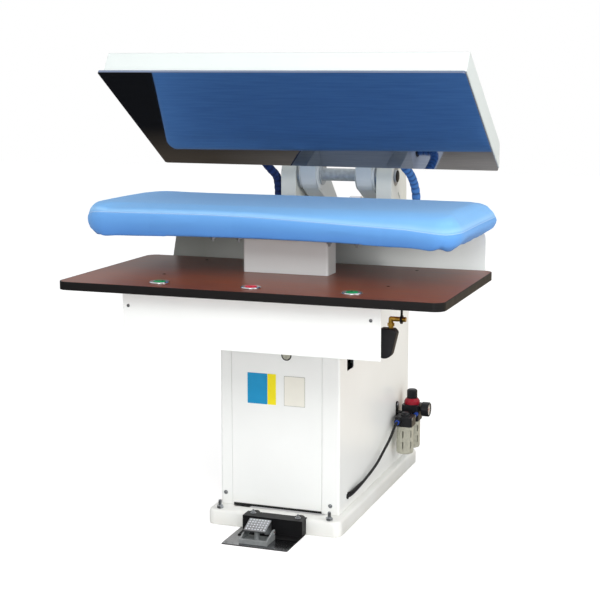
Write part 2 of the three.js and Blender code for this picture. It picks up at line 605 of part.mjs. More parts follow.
// Cross channel inside the cabinet that carries the cylinder between two ears
const earInner = cylinder.lugHalf + gap;
const earOuter = earInner + mount.ear;
function makeMount() {
  const inX = sideX - cabinet.wall - gap;
  const { pivotY, pivotZ } = cylinder;
  const beam = block(-inX, inX, pivotY - half(mount.depth), pivotY + half(mount.depth), mount.bottom,
    mount.bottom + mount.high);
  const ears = [[-earOuter, -earInner], [earInner, earOuter]].map(([x0, x1]) =>
    join(
      block(x0, x1, pivotY - mount.earRound, pivotY + mount.earRound, mount.bottom + half(mount.high), pivotZ),
      rodAlong("X", mount.earRound, x0, x1, 20).translate(0, pivotY, pivotZ),
    ),
  );
  const hole = rodAlong("X", cylinder.pin + running, -earOuter - overrun, earOuter + overrun, 16)
    .translate(0, pivotY, pivotZ);
  place(machine, "cylinder_mount", cut(join(beam, ...ears), hole), finish.greyPaint);
}

// Air valve on the inside of the left wall, with its row of ports
function makeValve() {
  const x0 = -sideX + cabinet.wall + gap;
  const body = extrude(
    roundedRectangle(valve.y, valve.y + valve.width, valve.z, valve.z + valve.high, valve.port * 0.5),
    "X", x0, x0 + valve.depth, 0, 1, 3);
  const ports = [];
  for (let i = 0; i < valve.ports; i++) {
    const y = valve.y + (valve.width * (i + 0.5)) / valve.ports;
    const x = x0 + valve.depth;
    ports.push(rodAlong("X", valve.port, x - overrun, x + valve.portProud, 16)
      .translate(0, y, valve.z + half(valve.high)));
  }
  place(machine, "air_valve", join(body, ...ports), finish.cast);
}

// Worktable board, its black edge band, and the holes for neck and buttons
function makeTable() {
  const { length, front, rear, corner, band } = table;
  const bottom = cabinet.top + gap;
  const x = half(length);
  const inset = band + gap;
  const board = extrude(roundedRectangle(-x + inset, x - inset, front + inset, rear - inset, corner - inset),
    "Z", bottom, tableTop, 0, 1, 6);
  const s = supportBox();
  const neckHole = block(s.x0 - gap, s.x1 + gap, s.y0 - gap, s.y1 + gap, bottom - overrun, tableTop + overrun);
  const buttonHoles = buttonNames.map((name) =>
    rodAlong("Z", button.sleeve + gap, bottom - overrun, tableTop + overrun, 24).translate(buttonX[name], button.y, 0),
  );
  place(machine, "worktable", cut(board, neckHole, ...buttonHoles), finish.laminate);
  const ring = extrude(roundedRectangle(-x, x, front, rear, corner), "Z", bottom, tableTop, 0, 1, 6);
  const inside = extrude(
    roundedRectangle(-x + band, x - band, front + band, rear - band, corner - band),
    "Z", bottom - overrun, tableTop + overrun, 0, 1, 6);
  place(machine, "table_edging", cut(ring, inside), finish.edging);
}

function supportBox() {
  const y0 = neck.front + support.inset;
  const y1 = neck.front + neck.depth - support.inset;
  return { x0: -half(support.width), x1: half(support.width), y0, y1 };
}

// Push buttons: a bezel with a sleeve through the board, and a cap that travels in it
function makeButtons() {
  const seat = tableTop + gap;
  const rim = button.cap + running;
  const face = seat + button.ringHigh;
  const low = tableTop - table.thick - button.sleeveDrop;
  for (const name of buttonNames) {
    const bezel = turn([
      [rim, low], [button.sleeve, low], [button.sleeve, seat], [button.ring, seat],
      [button.ring, face - button.ringChamfer], [button.ring - button.ringChamfer, face], [rim, face], [rim, low],
    ], "Z", 20);
    place(machine, "button_bezel_" + name, bezel.translate(buttonX[name], button.y, 0), finish.chrome);
    const cap = turn([
      [0, face - button.capDeep], [button.cap, face - button.capDeep], [button.cap, face],
      [button.cap * 0.86, face + button.capHigh * 0.8], [button.cap * 0.4, face + button.capHigh],
      [0, face + button.capHigh],
    ], "Z", 20);
    const colour = name === "centre" ? finish.red : finish.green;
    place(machine, "button_" + name, cap.translate(buttonX[name], button.y, 0), colour);
  }
}

// Control apron under the table's front edge: a plain face, folded over to a top flange with button holes
function makeApron() {
  const x = half(apron.length);
  const top = cabinet.top;
  const { front, bottom, sheet, flange } = apron;
  const body = join(
    block(-x, x, front, front + sheet, bottom, top),
    block(-x, x, front, front + flange, top - sheet, top),
  );
  const holes = buttonNames.map((name) =>
    rodAlong("Z", button.sleeve + gap, top - sheet - overrun, top + overrun, 24)
      .translate(buttonX[name], button.y, 0),
  );
  place(machine, "control_apron", cut(body, ...holes), finish.whitePaint);
}

// Neck: the steel box column that carries the buck, and its light sheet shroud
function makeNeck() {
  const s = supportBox();
  const top = tray.bottom - gap;
  const column = block(s.x0, s.x1, s.y0, s.y1, cabinet.top + gap, top);
  const w = support.wall;
  const core = block(s.x0 + w, s.x1 - w, s.y0 + w, s.y1 - w, cabinet.top + gap + w, top + overrun);
  place(machine, "buck_support", cut(column, core), finish.steel);
  const { front, depth, sheet, corner } = neck;
  const x = half(neck.width);
  const z0 = tableTop + gap;
  const outer = extrude(roundedRectangle(-x, x, front, front + depth, corner), "Z", z0, top, 0, 1, 4);
  const inner = extrude(
    roundedRectangle(-x + sheet, x - sheet, front + sheet, front + depth - sheet, corner - sheet),
    "Z", z0 - overrun, top + overrun, 0, 1, 4);
  place(machine, "neck_shroud", cut(outer, inner), finish.greyPaint);
}

// One ring of the buck's plan: long sides that draw in a little between well-rounded corners
function buckRing(halfLength, halfDepth, corner, rearCorner, drawIn) {
  const points = [];
  const cornerSteps = 6;
  const longSteps = 12;
  const shortSteps = 4;
  const cornerAt = (toX, toY, radius, turns) => [toX * (halfLength - radius), toY * (halfDepth - radius), radius, turns];
  const corners = [
    cornerAt(1, -1, corner, -0.5), cornerAt(1, 1, rearCorner, 0), cornerAt(-1, 1, rearCorner, 0.5),
    cornerAt(-1, -1, corner, 1),
  ];
  corners.forEach(([x, y, radius, turns], i) => {
    for (let k = 0; k <= cornerSteps; k++) {
      const angle = Math.PI * (turns + (half(k)) / cornerSteps);
      points.push([x + radius * Math.cos(angle), y + radius * Math.sin(angle)]);
    }
    const [nx, ny, next, nextTurns] = corners[(i + 1) % 4];
    const a = points[points.length - 1];
    const b = [nx + next * Math.cos(Math.PI * nextTurns), ny + next * Math.sin(Math.PI * nextTurns)];
    const steps = i % 2 ? longSteps : shortSteps;
    const pull = i % 2 ? drawIn : half(drawIn);
    const inward = [[-1, 0], [0, -1], [1, 0], [0, 1]][i];
    for (let k = 1; k < steps; k++) {
      const share = k / steps;
      const dip = pull * Math.sin(Math.PI * share);
      points.push([a[0] + (b[0] - a[0]) * share + inward[0] * dip, a[1] + (b[1] - a[1]) * share + inward[1] * dip]);
    }
  });
  return points;
}

// Buck pad: crowned top, seam round the ridge, bulging sides and a hem that wraps the tray
const hemInner = {
  x: half(pad.length) - padSide.hemInX - padSide.hemThick,
  y: half(pad.depth) - padSide.hemInY - padSide.hemThick,
  corner: pad.corner - half(padSide.hemInX),
};
function makePad() {
  const hx = half(pad.length);
  const hy = half(pad.depth);
  const { ridgeInset, seam, seamHalf, bulge, bulgeIn, hemInX, hemInY, hemLift } = padSide;
  const round = (radius, inset) => Math.max(radius - inset, radius * 0.3);
  const outline = (insetX, insetY) =>
    buckRing(hx - insetX, hy - insetY, round(pad.corner, half(insetX + insetY)),
      round(pad.rearCorner, half(insetX + insetY)),
      padSide.drawIn * (1 - insetY / hy));
  const lay = (points, height) =>
    points.map(([x, y]) => [x + pad.shift, y + pad.centre, typeof height === "function" ? height(x, y) : height]);
  const archRise = pad.crown - pad.ridge - padTop.shoulder;
  const archOf = (y) => 1 - Math.abs(y / hy) ** padShares.arch;
  const topOf = (share) => (x, y) => pad.ridge + share * (padTop.shoulder + archRise * archOf(y));
  const rings = padTop.steps
    .map((inset, i) => lay(outline(ridgeInset + inset, ridgeInset + inset), topOf(padShares.shoulder[i])))
    .reverse();
  rings.push(lay(outline(ridgeInset + seam, ridgeInset + seam), pad.ridge - half(seamHalf)));
  rings.push(lay(outline(half(ridgeInset), half(ridgeInset)), pad.ridge - seamHalf));
  rings.push(lay(outline(0, 0), bulge));
  rings.push(lay(outline(bulgeIn + hemInX * 0.25, bulgeIn + hemInY * 0.25), half(bulge + pad.hem)));
  const hemOf = (x) => pad.hem + hemLift * (1 - Math.abs(x / hx) ** 3);
  rings.push(lay(outline(hemInX, hemInY), hemOf));
  const inner = buckRing(hemInner.x, hemInner.y, hemInner.corner, hemInner.corner, padSide.drawIn);
  const ceiling = tray.bottom + tray.high + gap;
  rings.push(lay(inner, hemOf));
  rings.push(lay(inner, ceiling));
  const n = rings[0].length;
  const places = [[pad.shift, pad.centre, pad.crown], ...rings.flat(), [pad.shift, pad.centre, ceiling]];
  const faces = [];
  const at = (ring, i) => 1 + ring * n + (i % n);
  for (let i = 0; i < n; i++) faces.push(0, at(0, i), at(0, i + 1));
  for (let r = 0; r + 1 < rings.length; r++)
    for (let i = 0; i < n; i++)
      faces.push(at(r, i), at(r + 1, i), at(r + 1, i + 1), at(r, i), at(r + 1, i + 1), at(r, i + 1));
  const last = places.length - 1;
  for (let i = 0; i < n; i++) faces.push(last, at(rings.length - 1, i + 1), at(rings.length - 1, i));
  const geometry = new THREE.BufferGeometry();
  geometry.setAttribute("position", new THREE.BufferAttribute(new Float32Array(places.flat()), 3));
  geometry.setIndex(faces);
  place(machine, "buck_pad", solid(geometry), finish.padCloth);
}

// Buck tray: the cast pan under the pad, with webs in its open top
function makeTray() {
  const slack = gap + padSide.drawIn; // the pad's sides draw in by this much
  const outline = (inset) => {
    const x = hemInner.x - slack - inset;
    const y = hemInner.y - slack - inset;
    return roundedRectangle(-x, x, -y, y, hemInner.corner - inset);
  };
  const top = tray.bottom + tray.high;
  const body = extrude(outline(0), "Z", tray.bottom, top, 0, 1, 6);
  const pocket = extrude(outline(tray.rim), "Z", top - tray.pocket, top + overrun, 0, 1, 6);
  const webs = [];
  const webHalf = hemInner.y - slack - half(tray.rim);
  for (const share of [-0.5, 0, 0.5]) {
    const x = hemInner.x * share;
    webs.push(block(x - half(tray.web), x + half(tray.web), -webHalf, webHalf, tray.bottom + half(tray.high),
      top - half(tray.rim)));
  }
  const ribbed = join(cut(body, pocket), ...webs);
  place(machine, "buck_tray", ribbed.translate(pad.shift, pad.centre, 0), finish.cast);
}

// Cloth guard: the bent sheet behind the table that keeps linen off the mechanism
function makeGuard() {
  const { left, leftTop, right, y, top, sheet, corner, foot: footDepth, footHalf, lip } = guard;
  const bottom = cabinet.top + gap;
  const face = new THREE.Shape();
  face.moveTo(bottom, left);
  face.lineTo(top - corner, leftTop);
  face.quadraticCurveTo(top, leftTop, top, leftTop + corner);
  face.lineTo(top, right - corner);
  face.quadraticCurveTo(top, right, top - corner, right);
  face.lineTo(bottom, right);
  face.closePath();
  const body = join(
    extrude(face, "Y", y, y + sheet, 0, 1, 5),
    block(-footHalf, footHalf, y, y + footDepth, bottom, bottom + sheet),
    block(leftTop + corner, right - corner, y, y + lip, top - sheet, top),
  );
  place(machine, "cloth_guard", body, finish.whitePaint);
}

// Air unit: bracket, lubricator, regulator and their slotted bowl guards
function makeBowl(name, y) {
  const { bottom, top, radius, wall, round } = bowl;
  const shell = turn([
    [0, bottom], [radius - round, bottom], [radius - round * 0.3, bottom + round * 0.3], [radius, bottom + round],
    [radius, top], [radius - wall, top], [radius - wall, bottom + round], [0, bottom + wall],
  ], "Z", 20);
  const slots = [];
  for (let i = 0; i < bowl.slotsAround; i++)
    for (let row = 0; row < 2; row++) {
      const z = bottom + round + bowl.slotGap + row * (bowl.slotHigh + bowl.slotGap);
      const angle = ((i + 0.5) * 360) / bowl.slotsAround;
      slots.push(block(half(radius), radius + overrun, -half(bowl.slotWide), half(bowl.slotWide), z,
        z + bowl.slotHigh).rotate([0, 0, angle]));
    }
  place(machine, name, cut(shell, ...slots).translate(unit.x, y, 0), finish.bowlMetal);
}

function unitBody(y, z0, high) {
  const { x, half: h, corner } = unit;
  return extrude(roundedRectangle(x - h, x + h, y - h, y + h, corner), "Z", z0, z0 + high, 0, 1, 3);
}

function makeAirUnit() {
  const seat = bowl.top + gap;
  const top = seat + lubricator.high;
  const dome = turn([
    [0, top - overrun], [lubricator.dome, top - overrun], [lubricator.dome, top + half(lubricator.domeHigh)],
    [lubricator.dome * 0.7, top + lubricator.domeHigh], [0, top + lubricator.domeHigh],
  ], "Z", 20).translate(unit.x, unit.front, 0);
  const inlet = rodAlong("Y", port.radius, -port.length, overrun, 20).translate(unit.x - lubricator.portAside, unitFront, port.z);
  place(machine, "lubricator_head", join(unitBody(unit.front, seat, lubricator.high), dome, inlet), finish.blackPlastic);
  makeBowl("lubricator_bowl", unit.front);
  makeBowl("regulator_bowl", unit.rear);
  const stemX = unit.x + unit.half;
  const stem = rodAlong("X", gauge.stem, stemX - overrun, stemX + gauge.stemLong, 16).translate(0, unit.rear, gauge.z);
  place(machine, "regulator_body", join(unitBody(unit.rear, seat, regulator.high), stem), finish.blackPlastic);
  makeRegulatorTop(seat + regulator.high + gap);
  makeGauge(stemX + gauge.stemLong + gap);
  makeBracket();
}

function makeRegulatorTop(z0) {
  const { ringHigh, ringLow, ringTop, knob, knobHigh, knobRound, flutes, flute } = regulator;
  const ring = turn([
    [0, z0], [ringLow, z0], [ringLow, z0 + ringHigh * 0.55], [ringTop, z0 + ringHigh], [0, z0 + ringHigh],
  ], "Z", 24);
  place(machine, "lock_ring", ring.translate(unit.x, unit.rear, 0), finish.red);
  const k0 = z0 + ringHigh + gap;
  const cap = turn([
    [0, k0], [knob, k0], [knob, k0 + knobHigh - knobRound], [knob - knobRound, k0 + knobHigh], [0, k0 + knobHigh],
  ], "Z", 24);
  const grooves = [];
  for (let i = 0; i < flutes; i++)
    grooves.push(rodAlong("Z", flute, k0 - overrun, k0 + knobHigh + overrun, 6).translate(knob + half(flute), 0, 0)
      .rotate([0, 0, (i * 360) / flutes]));
  place(machine, "regulator_knob", cut(cap, ...grooves).translate(unit.x, unit.rear, 0), finish.blackPlastic);
}

// Pressure gauge facing sideways, with a real pointer in its recess
function makeGauge(x0) {
  const { radius, length, rim, recess, z } = gauge;
  const face = x0 + length;
  const body = turn([
    [0, x0], [radius - rim, x0], [radius, x0 + rim], [radius, face - rim], [radius - rim, face],
    [radius - rim - rim, face], [radius - rim - rim, face - recess], [0, face - recess],
  ], "X", 24);
  place(machine, "pressure_gauge", body.translate(0, unit.rear, z), finish.blackPlastic);
  const n0 = face - recess + gap;
  const hub = rodAlong("X", needle.hub, n0, n0 + needle.thick + needle.post, 12);
  const bar = block(n0 + needle.post, n0 + needle.post + needle.thick, -needle.half, needle.half,
    -needle.tailLong, needle.length);
  const pointer = join(hub, bar).rotate([needle.zeroTurn, 0, 0]);
  place(machine, "gauge_needle", pointer.translate(0, unit.rear, z), finish.red);
}

function makeBracket() {
  const { sheet, front, rear, bottom, high, lug, arm, armZ, armHigh, screw } = bracket;
  const x0 = wallOutside;
  const shape = new THREE.Shape();
  shape.moveTo(front, bottom);
  shape.lineTo(rear, bottom);
  shape.lineTo(rear, bottom + high - lug);
  shape.absarc(half(front + rear), bottom + high - lug, half(rear - front), 0, Math.PI, false);
  shape.closePath();
  const leaf = extrude(shape, "X", x0, x0 + sheet, 0, 1, 6);
  const hole = rodAlong("X", screw, x0 - overrun, x0 + sheet + overrun, 12)
    .translate(0, half(front + rear), bottom + high - lug);
  const between = [unit.front + unit.half + gap, unit.rear - unit.half - gap];
  const clamp = block(x0 + half(sheet), unit.x + arm, ...between, armZ, armZ + armHigh);
  place(machine, "air_unit_bracket", cut(join(leaf, clamp), hole), finish.blackPaint);
}

// Black air hose: from the unit's inlet, down along the wall and in at the front
function makeAirHose() {
  const start = [unit.x - lubricator.portAside, unitFront - port.length - gap, port.z];
  const wayIn = start[0] - sideX;
  const wayForward = start[1] - airHose.entryY;
  const wayDown = start[2] - airHose.entryZ;
  const points = [start];
  for (const [inward, forward, down] of airHoseRouteShares)
    points.push([start[0] - wayIn * inward, start[1] - wayForward * forward, start[2] - wayDown * down]);
  points.push([sideX - cabinet.wall - airHose.radius, airHose.entryY, airHose.entryZ]);
  const body = along(points.map((p) => new THREE.Vector3(...p)), airHose.radius, 36, 8);
  place(machine, "air_hose", body, finish.blackPlastic);
}

// A place of the closed head, given as Y and Z, where it stands when the head is open
function opened(y, z) {
  const arm = new THREE.Vector3(0, y - pivot.y, z - pivot.z).applyAxisAngle(new THREE.Vector3(1, 0, 0), -openAngle);
  return [pivot.y + arm.y, pivot.z + arm.z];
}

// Steam and vacuum hoses: out of the cabinet's sides, up behind the buck and into the rear of the head
function makeSteamHoses() {
  const { radius, wallY, wallZ, headX } = steamHose;
  const rearFoot = plateRear - cover.frontInset;
  const [endY, endZ] = opened(rearFoot - half(cover.rearSetback), half(coverBottom + coverTop));
  const out = headX - sideX;
  const forward = wallY - endY - gap;
  const rise = endZ - wallZ;
  for (const side of ["left", "right"]) {
    const sign = side === "left" ? -1 : 1;
    const route = [[sideX - cabinet.wall - radius, wallY, wallZ]];
    for (const [x, y, z] of steamHoseRouteShares[side])
      route.push([sideX + out * x, wallY - forward * y, wallZ + rise * z]);
    route.push([headX, endY + gap, endZ]);
    const points = route.map(([x, y, z]) => new THREE.Vector3(sign * x, y, z));
    place(machine, "steam_hose_" + side, along(points, radius, 32, 8),
      side === "left" ? finish.darkHoseCloth : finish.hoseCloth);
  }
}

// Spray gun hung by its brass pipe from a ring under the table
function makeGun() {
  const { y, pipeX, pipeZ, pipe, nut, nutHigh, nutZ, topZ, thick, bevel } = gun;
  const ringZ = pipeZ;
  const under = cabinet.top;
  const { x: ringX, ring, thick: ringThick, stem, foot: footHalf, footThick } = gunHolder;
  const loop = extrude(disc(ring, 0, ringZ), "X", ringX - half(ringThick), ringX + half(ringThick), 0, 1, 10);
  const loopHole = rodAlong("X", pipe + gap, ringX - overrun, ringX + overrun, 20).translate(0, 0, ringZ);
  const holder = join(
    cut(join(loop, block(ringX - half(ringThick), ringX + half(ringThick), -stem, stem, ringZ + pipe + stem, under)),
      loopHole),
    block(ringX - footHalf, ringX + footHalf, -footHalf, footHalf, under - footThick, under),
  );
  place(machine, "gun_holder", holder.translate(0, y, 0), finish.blackPaint);
  const across = rodAlong("X", pipe, pipeX, ringX + ring, 20).translate(0, y, pipeZ);
  const ball = solid(new THREE.SphereGeometry(pipe, 16, 10)).translate(pipeX, y, pipeZ);
  const down = rodAlong("Z", pipe, topZ + gap, pipeZ, 20).translate(pipeX, y, 0);
  const hex = extrude(hexagon(nut), "Z", nutZ, nutZ + nutHigh).translate(pipeX, y, 0);
  place(machine, "gun_pipe", join(across, ball, down, hex), finish.brass);
  const { left, right, bottom, heel, shoulder } = gunProfile;
  const grip = new THREE.Shape();
  grip.moveTo(topZ, left + shoulder);
  grip.lineTo(topZ, pipeX + nut);
  grip.quadraticCurveTo(topZ - half(shoulder), right, topZ - shoulder, right);
  grip.quadraticCurveTo(half(topZ + bottom), right - half(shoulder), bottom + shoulder, left + heel + half(shoulder));
  grip.quadraticCurveTo(bottom, left + heel, bottom, left + half(heel));
  grip.quadraticCurveTo(bottom, left + bevel, bottom + shoulder, left + bevel);
  grip.lineTo(topZ - shoulder, left);
  grip.quadraticCurveTo(topZ, left, topZ, left + shoulder);
  const body = extrude(grip, "Y", y - half(thick), y + half(thick), bevel, 2, 5);
  place(machine, "spray_gun", body, finish.blackPlastic);
  const hx = left - gap - trigger.head;
  const shape = taperedBar([trigger.headZ, hx, trigger.head],
    [trigger.headZ - trigger.length, hx - trigger.lean, trigger.thick], 6);
  place(machine, "gun_trigger",
    extrude(shape, "Y", y - half(trigger.wide), y + half(trigger.wide), 0, 1), finish.blackPlastic);
}

// Foot pedal: floor plate, folded guard over the plinth's ledge, cast base, pin and treadle
function makePedal() {
  const { left, right, front, thick, corner } = pedalPlate;
  place(machine, "pedal_floor_plate",
    extrude(roundedRectangle(left, right, front, -gap, corner), "Z", 0, thick, 0, 1, 3), finish.blackPaint);
  makePedalGuard(thick + gap);
  makePedalBase(thick + gap);
  makeTreadle();
}

function makePedalGuard(z0) {
  const { left, right, front, toe, rear, sheet, boltX, lobe, saddle } = pedalGuard;
  const z = plinth.height + gap;
  const mid = half(left + right);
  const flange = new THREE.Shape();
  flange.moveTo(left, front);
  flange.lineTo(right, front);
  flange.lineTo(right, saddle);
  flange.lineTo(mid + boltX + lobe, saddle);
  flange.quadraticCurveTo(mid + boltX, rear + lobe, mid + boltX - lobe, saddle);
  flange.lineTo(mid - boltX + lobe, saddle);
  flange.quadraticCurveTo(mid - boltX, rear + lobe, mid - boltX - lobe, saddle);
  flange.lineTo(left, saddle);
  flange.closePath();
  const side = polygon([[front, z0], [-gap, z0], [-gap, z + sheet], [front, z + sheet]]);
  const body = join(
    extrude(flange, "Z", z, z + sheet, 0, 1, 8),
    block(left, right, front, front + sheet, z0, z + sheet),
    block(left, right, toe, front + sheet, z0, z0 + sheet),
    extrude(side, "X", left, left + sheet),
    extrude(side, "X", right - sheet, right),
  );
  place(machine, "pedal_guard", body, finish.blackPaint);
}

function makePedalBase(z0) {
  const { x, halfWidth, front, rear, base, cheek, cheekHigh, cheekLow, stem, stemHigh } = pedal;
  const [x0, x1] = [x - halfWidth, x + halfWidth];
  const side = polygon([
    [front, z0], [rear, z0], [rear, z0 + cheekHigh], [hinge.y - hinge.nut, z0 + cheekHigh],
    [front + cheek, z0 + cheekLow], [front, z0 + cheekLow],
  ]);
  const floor = extrude(roundedRectangle(x0, x1, front, rear, cheek), "Z", z0, z0 + base, 0, 1, 3);
  const lip = block(x0 + half(cheek), x1 - half(cheek), front, front + cheek, z0, z0 + cheekLow);
  const valveStem = rodAlong("Z", stem, z0 + half(base), z0 + stemHigh, 16).translate(x, half(front + rear), 0);
  const hole = rodAlong("X", hinge.radius + gap, x0 - overrun, x1 + overrun, 16).translate(0, hinge.y, hinge.z);
  const body = join(floor, lip, valveStem, extrude(side, "X", x0, x0 + cheek), extrude(side, "X", x1 - cheek, x1));
  place(machine, "pedal_base", cut(body, hole), finish.cast);
  const outer = halfWidth + gap + hinge.nutThick;
  const pin = join(
    rodAlong("X", hinge.radius, x - outer, x + outer, 16),
    extrude(hexagon(hinge.nut), "Z", halfWidth + gap, outer).rotate([0, 90, 0]).translate(x, 0, 0),
    extrude(hexagon(hinge.nut), "Z", halfWidth + gap, outer).rotate([0, -90, 0]).translate(x, 0, 0),
  );
  place(machine, "pedal_pin", pin.translate(0, hinge.y, hinge.z), finish.chrome);
}

// Treadle: a sloping plate with skirts that reach down to the pin
function makeTreadle() {
  const { half: w, top, front, frontZ, rear, rearZ, skirt, skirtDrop } = treadle;
  const roof = polygon([[front, frontZ - top], [rear, rearZ - top], [rear, rearZ], [front, frontZ]]);
  const skirtShape = new THREE.Shape();
  skirtShape.moveTo(front, frontZ - half(top));
  skirtShape.lineTo(front, frontZ - skirtDrop);
  skirtShape.lineTo(hinge.y - hinge.nut, hinge.z - half(hinge.nut));
  skirtShape.quadraticCurveTo(hinge.y, hinge.z - hinge.nut * 1.4, hinge.y + hinge.nut, hinge.z);
  skirtShape.lineTo(rear, rearZ - half(top));
  skirtShape.closePath();
  const { x } = pedal;
  const hole = rodAlong("X", hinge.radius + running, x - w - overrun, x + w + overrun, 16)
    .translate(0, hinge.y, hinge.z);
  const body = join(
    extrude(roof, "X", x - w, x + w),
    extrude(skirtShape, "X", x - w, x - w + skirt, 0, 1, 5),
    extrude(skirtShape, "X", x + w - skirt, x + w, 0, 1, 5),
  );
  place(machine, "pedal_treadle", cut(body, hole), finish.cast);
}

makePlinth();
makeFeet();
makeCabinet();
makeDoor();
makeLock();
makeBackDoor();
makePosts();
makePlate();
makeChest();
makeCover();
makeBridge();
makeLevers();
makeShaft();
makeTie();
makeCylinder();
makeRod();
makeMount();
makeValve();
makeTable();
makeButtons();
makeApron();
makeNeck();
makePad();
makeTray();
makeGuard();
makeAirUnit();
makeAirHose();
makeSteamHoses();
makeGun();
makePedal();

export default press;
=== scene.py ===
# %% [markdown]
# A utility ironing press, dressed for a picture
#
# The press comes from CAD as sixty plain solids that already have the right sizes and joints. This
# lesson gives them softened edges, paint, polish and laminate, sews and fills the buck's pad, and adds
# the small things that CAD leaves out, such as screws, the dial's marks and the sleeves of the hoses.
# Every Blender object is in metres, in the CAD's own frame: X to the right of the person who works at
# the press, Y away from them, Z up.

import json
import math

import bmesh
import bpy
from mathutils import Matrix, Vector, noise
from mathutils.bvhtree import BVHTree

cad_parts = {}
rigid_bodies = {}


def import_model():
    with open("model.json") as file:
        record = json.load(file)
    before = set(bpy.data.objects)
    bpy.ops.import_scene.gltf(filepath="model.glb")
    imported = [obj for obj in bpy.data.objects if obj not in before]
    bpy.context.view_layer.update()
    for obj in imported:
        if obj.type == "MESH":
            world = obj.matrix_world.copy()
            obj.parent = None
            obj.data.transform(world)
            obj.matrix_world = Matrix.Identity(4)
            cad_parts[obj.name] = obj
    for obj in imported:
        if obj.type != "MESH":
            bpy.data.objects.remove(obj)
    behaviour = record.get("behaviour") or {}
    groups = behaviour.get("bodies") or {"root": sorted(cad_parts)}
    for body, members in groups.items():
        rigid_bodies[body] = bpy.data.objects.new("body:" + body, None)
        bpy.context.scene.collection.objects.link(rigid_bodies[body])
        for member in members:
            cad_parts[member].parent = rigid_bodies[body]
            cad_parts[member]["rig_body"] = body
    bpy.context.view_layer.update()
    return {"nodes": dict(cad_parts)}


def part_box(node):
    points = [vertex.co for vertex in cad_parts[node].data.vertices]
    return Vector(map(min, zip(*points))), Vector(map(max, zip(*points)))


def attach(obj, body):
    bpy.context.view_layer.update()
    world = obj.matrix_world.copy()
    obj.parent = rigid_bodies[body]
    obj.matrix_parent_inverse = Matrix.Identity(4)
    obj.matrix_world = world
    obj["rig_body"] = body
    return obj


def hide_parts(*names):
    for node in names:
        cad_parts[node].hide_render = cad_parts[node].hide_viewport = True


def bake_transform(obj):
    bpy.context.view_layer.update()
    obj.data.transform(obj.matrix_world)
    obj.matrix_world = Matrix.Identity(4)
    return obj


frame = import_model()

# %% [markdown]
# The drawing of the press counts millimetres from the middle of its plinth's front edge. Blender's
# frame is in metres and starts below the middle of the whole press. One small function turns a place on
# the drawing into a place in the scene, so that the rest of the lesson can use the drawing's numbers.
# Another makes an object of a mesh, a curve, a camera or a lamp, and puts it into the scene.

# %% Places and objects
MM = 0.001
DRAWING_TO_SCENE = (22.25, -327.0)


def spot(x, y, z):
    return Vector((x + DRAWING_TO_SCENE[0], y + DRAWING_TO_SCENE[1], z)) * MM


def in_scene(name, data):
    thing = bpy.data.objects.new(name, data)
    bpy.context.scene.collection.objects.link(thing)
    return thing


print("the plinth's front edge is at", tuple(round(v, 3) for v in spot(0, 0, 0)))

# %% [markdown]
# The camera stands where the photographer stood: to the right of the press, a little above the buck,
# and far enough away that the long edges converge only slightly. A lens of about 84 mm on a sensor of
# 36 mm gives the same narrow view. Its place and its two angles were solved from the straight edges of
# the table, the head and the cabinet, which is more exact than turning the camera by eye.

# %% Camera
CAMERA_LENS = 83.75
CAMERA_PLACE = (1.48675, -4.1629, 1.4052)
CAMERA_TILT = 80.5
CAMERA_TURN = 19.71

camera_data = bpy.data.cameras.new("photographer")
camera_data.lens = CAMERA_LENS
camera_data.sensor_width = 36.0
camera_data.clip_start = 0.1
camera_data.clip_end = 60.0
camera = in_scene("photographer", camera_data)
camera.location = CAMERA_PLACE
camera.rotation_euler = (math.radians(CAMERA_TILT), 0.0, math.radians(CAMERA_TURN))
bpy.context.scene.camera = camera
bpy.context.scene.view_settings.view_transform = "Standard"
print("the camera is", round((camera.location - spot(0, 300, 900)).length, 2), "m from the press")

# %% [markdown]
# Materials and Geometry Nodes are both trees of nodes. They could be drawn by hand in the editor, but a
# script can be read again and changed. One helper adds a node and feeds its inputs, each by name, with a
# plain value or with the output of another node. The others are the nodes that come back most often:
# a sum, one coordinate of the piece's own space, and a change of range.

# %% Nodes with named inputs
def feed(tree, socket, value):
    """Puts a plain value on an input, or links the output that the value comes from."""
    if isinstance(value, bpy.types.NodeSocket):
        tree.links.new(value, socket)
    elif value is not None:
        socket.default_value = value


def add_node(tree, kind, setup=None, **inputs):
    node = tree.nodes.new(kind)
    for label, value in (setup or {}).items():
        setattr(node, label, value)
    for label, value in inputs.items():
        feed(tree, node.inputs[label.replace("_", " ")], value)
    return node


def math_node(tree, operation, *values):
    node = add_node(tree, "ShaderNodeMath", {"operation": operation})
    for socket, value in zip(node.inputs, values):
        feed(tree, socket, value)
    return node.outputs["Value"]


def coordinate(tree, axis, space="Object"):
    place = add_node(tree, "ShaderNodeTexCoord")
    split = add_node(tree, "ShaderNodeSeparateXYZ", Vector=place.outputs[space])
    return split.outputs[axis]


def spread(tree, value, low, high, start=0.0, end=1.0):
    """Maps the values from start to end onto those from low to high."""
    node = add_node(tree, "ShaderNodeMapRange", Value=value, From_Min=start, From_Max=end,
                    To_Min=low, To_Max=high)
    return node.outputs["Result"]


print("a helper for each of the nodes that come back most often")

# %% [markdown]
# Colours are written as they look on a screen and turned into the linear values that the shader
# expects. Patterns come from a noise in the object's own space, which needs no unwrapping and stays on
# the piece when it moves, and from a ramp that turns the noise into colours.

# %% Colours and patterns
MIX_FACTOR, MIX_FIRST, MIX_SECOND, MIX_RESULT = 0, 6, 7, 2


def shade(code):
    channels = [int(code[i : i + 2], 16) / 255 for i in (0, 2, 4)]
    linear = [c / 12.92 if c <= 0.04045 else ((c + 0.055) / 1.055) ** 2.4 for c in channels]
    return (*linear, 1.0)


def dimmed(colour, share):
    return (*(c * share for c in colour[:3]), 1.0)


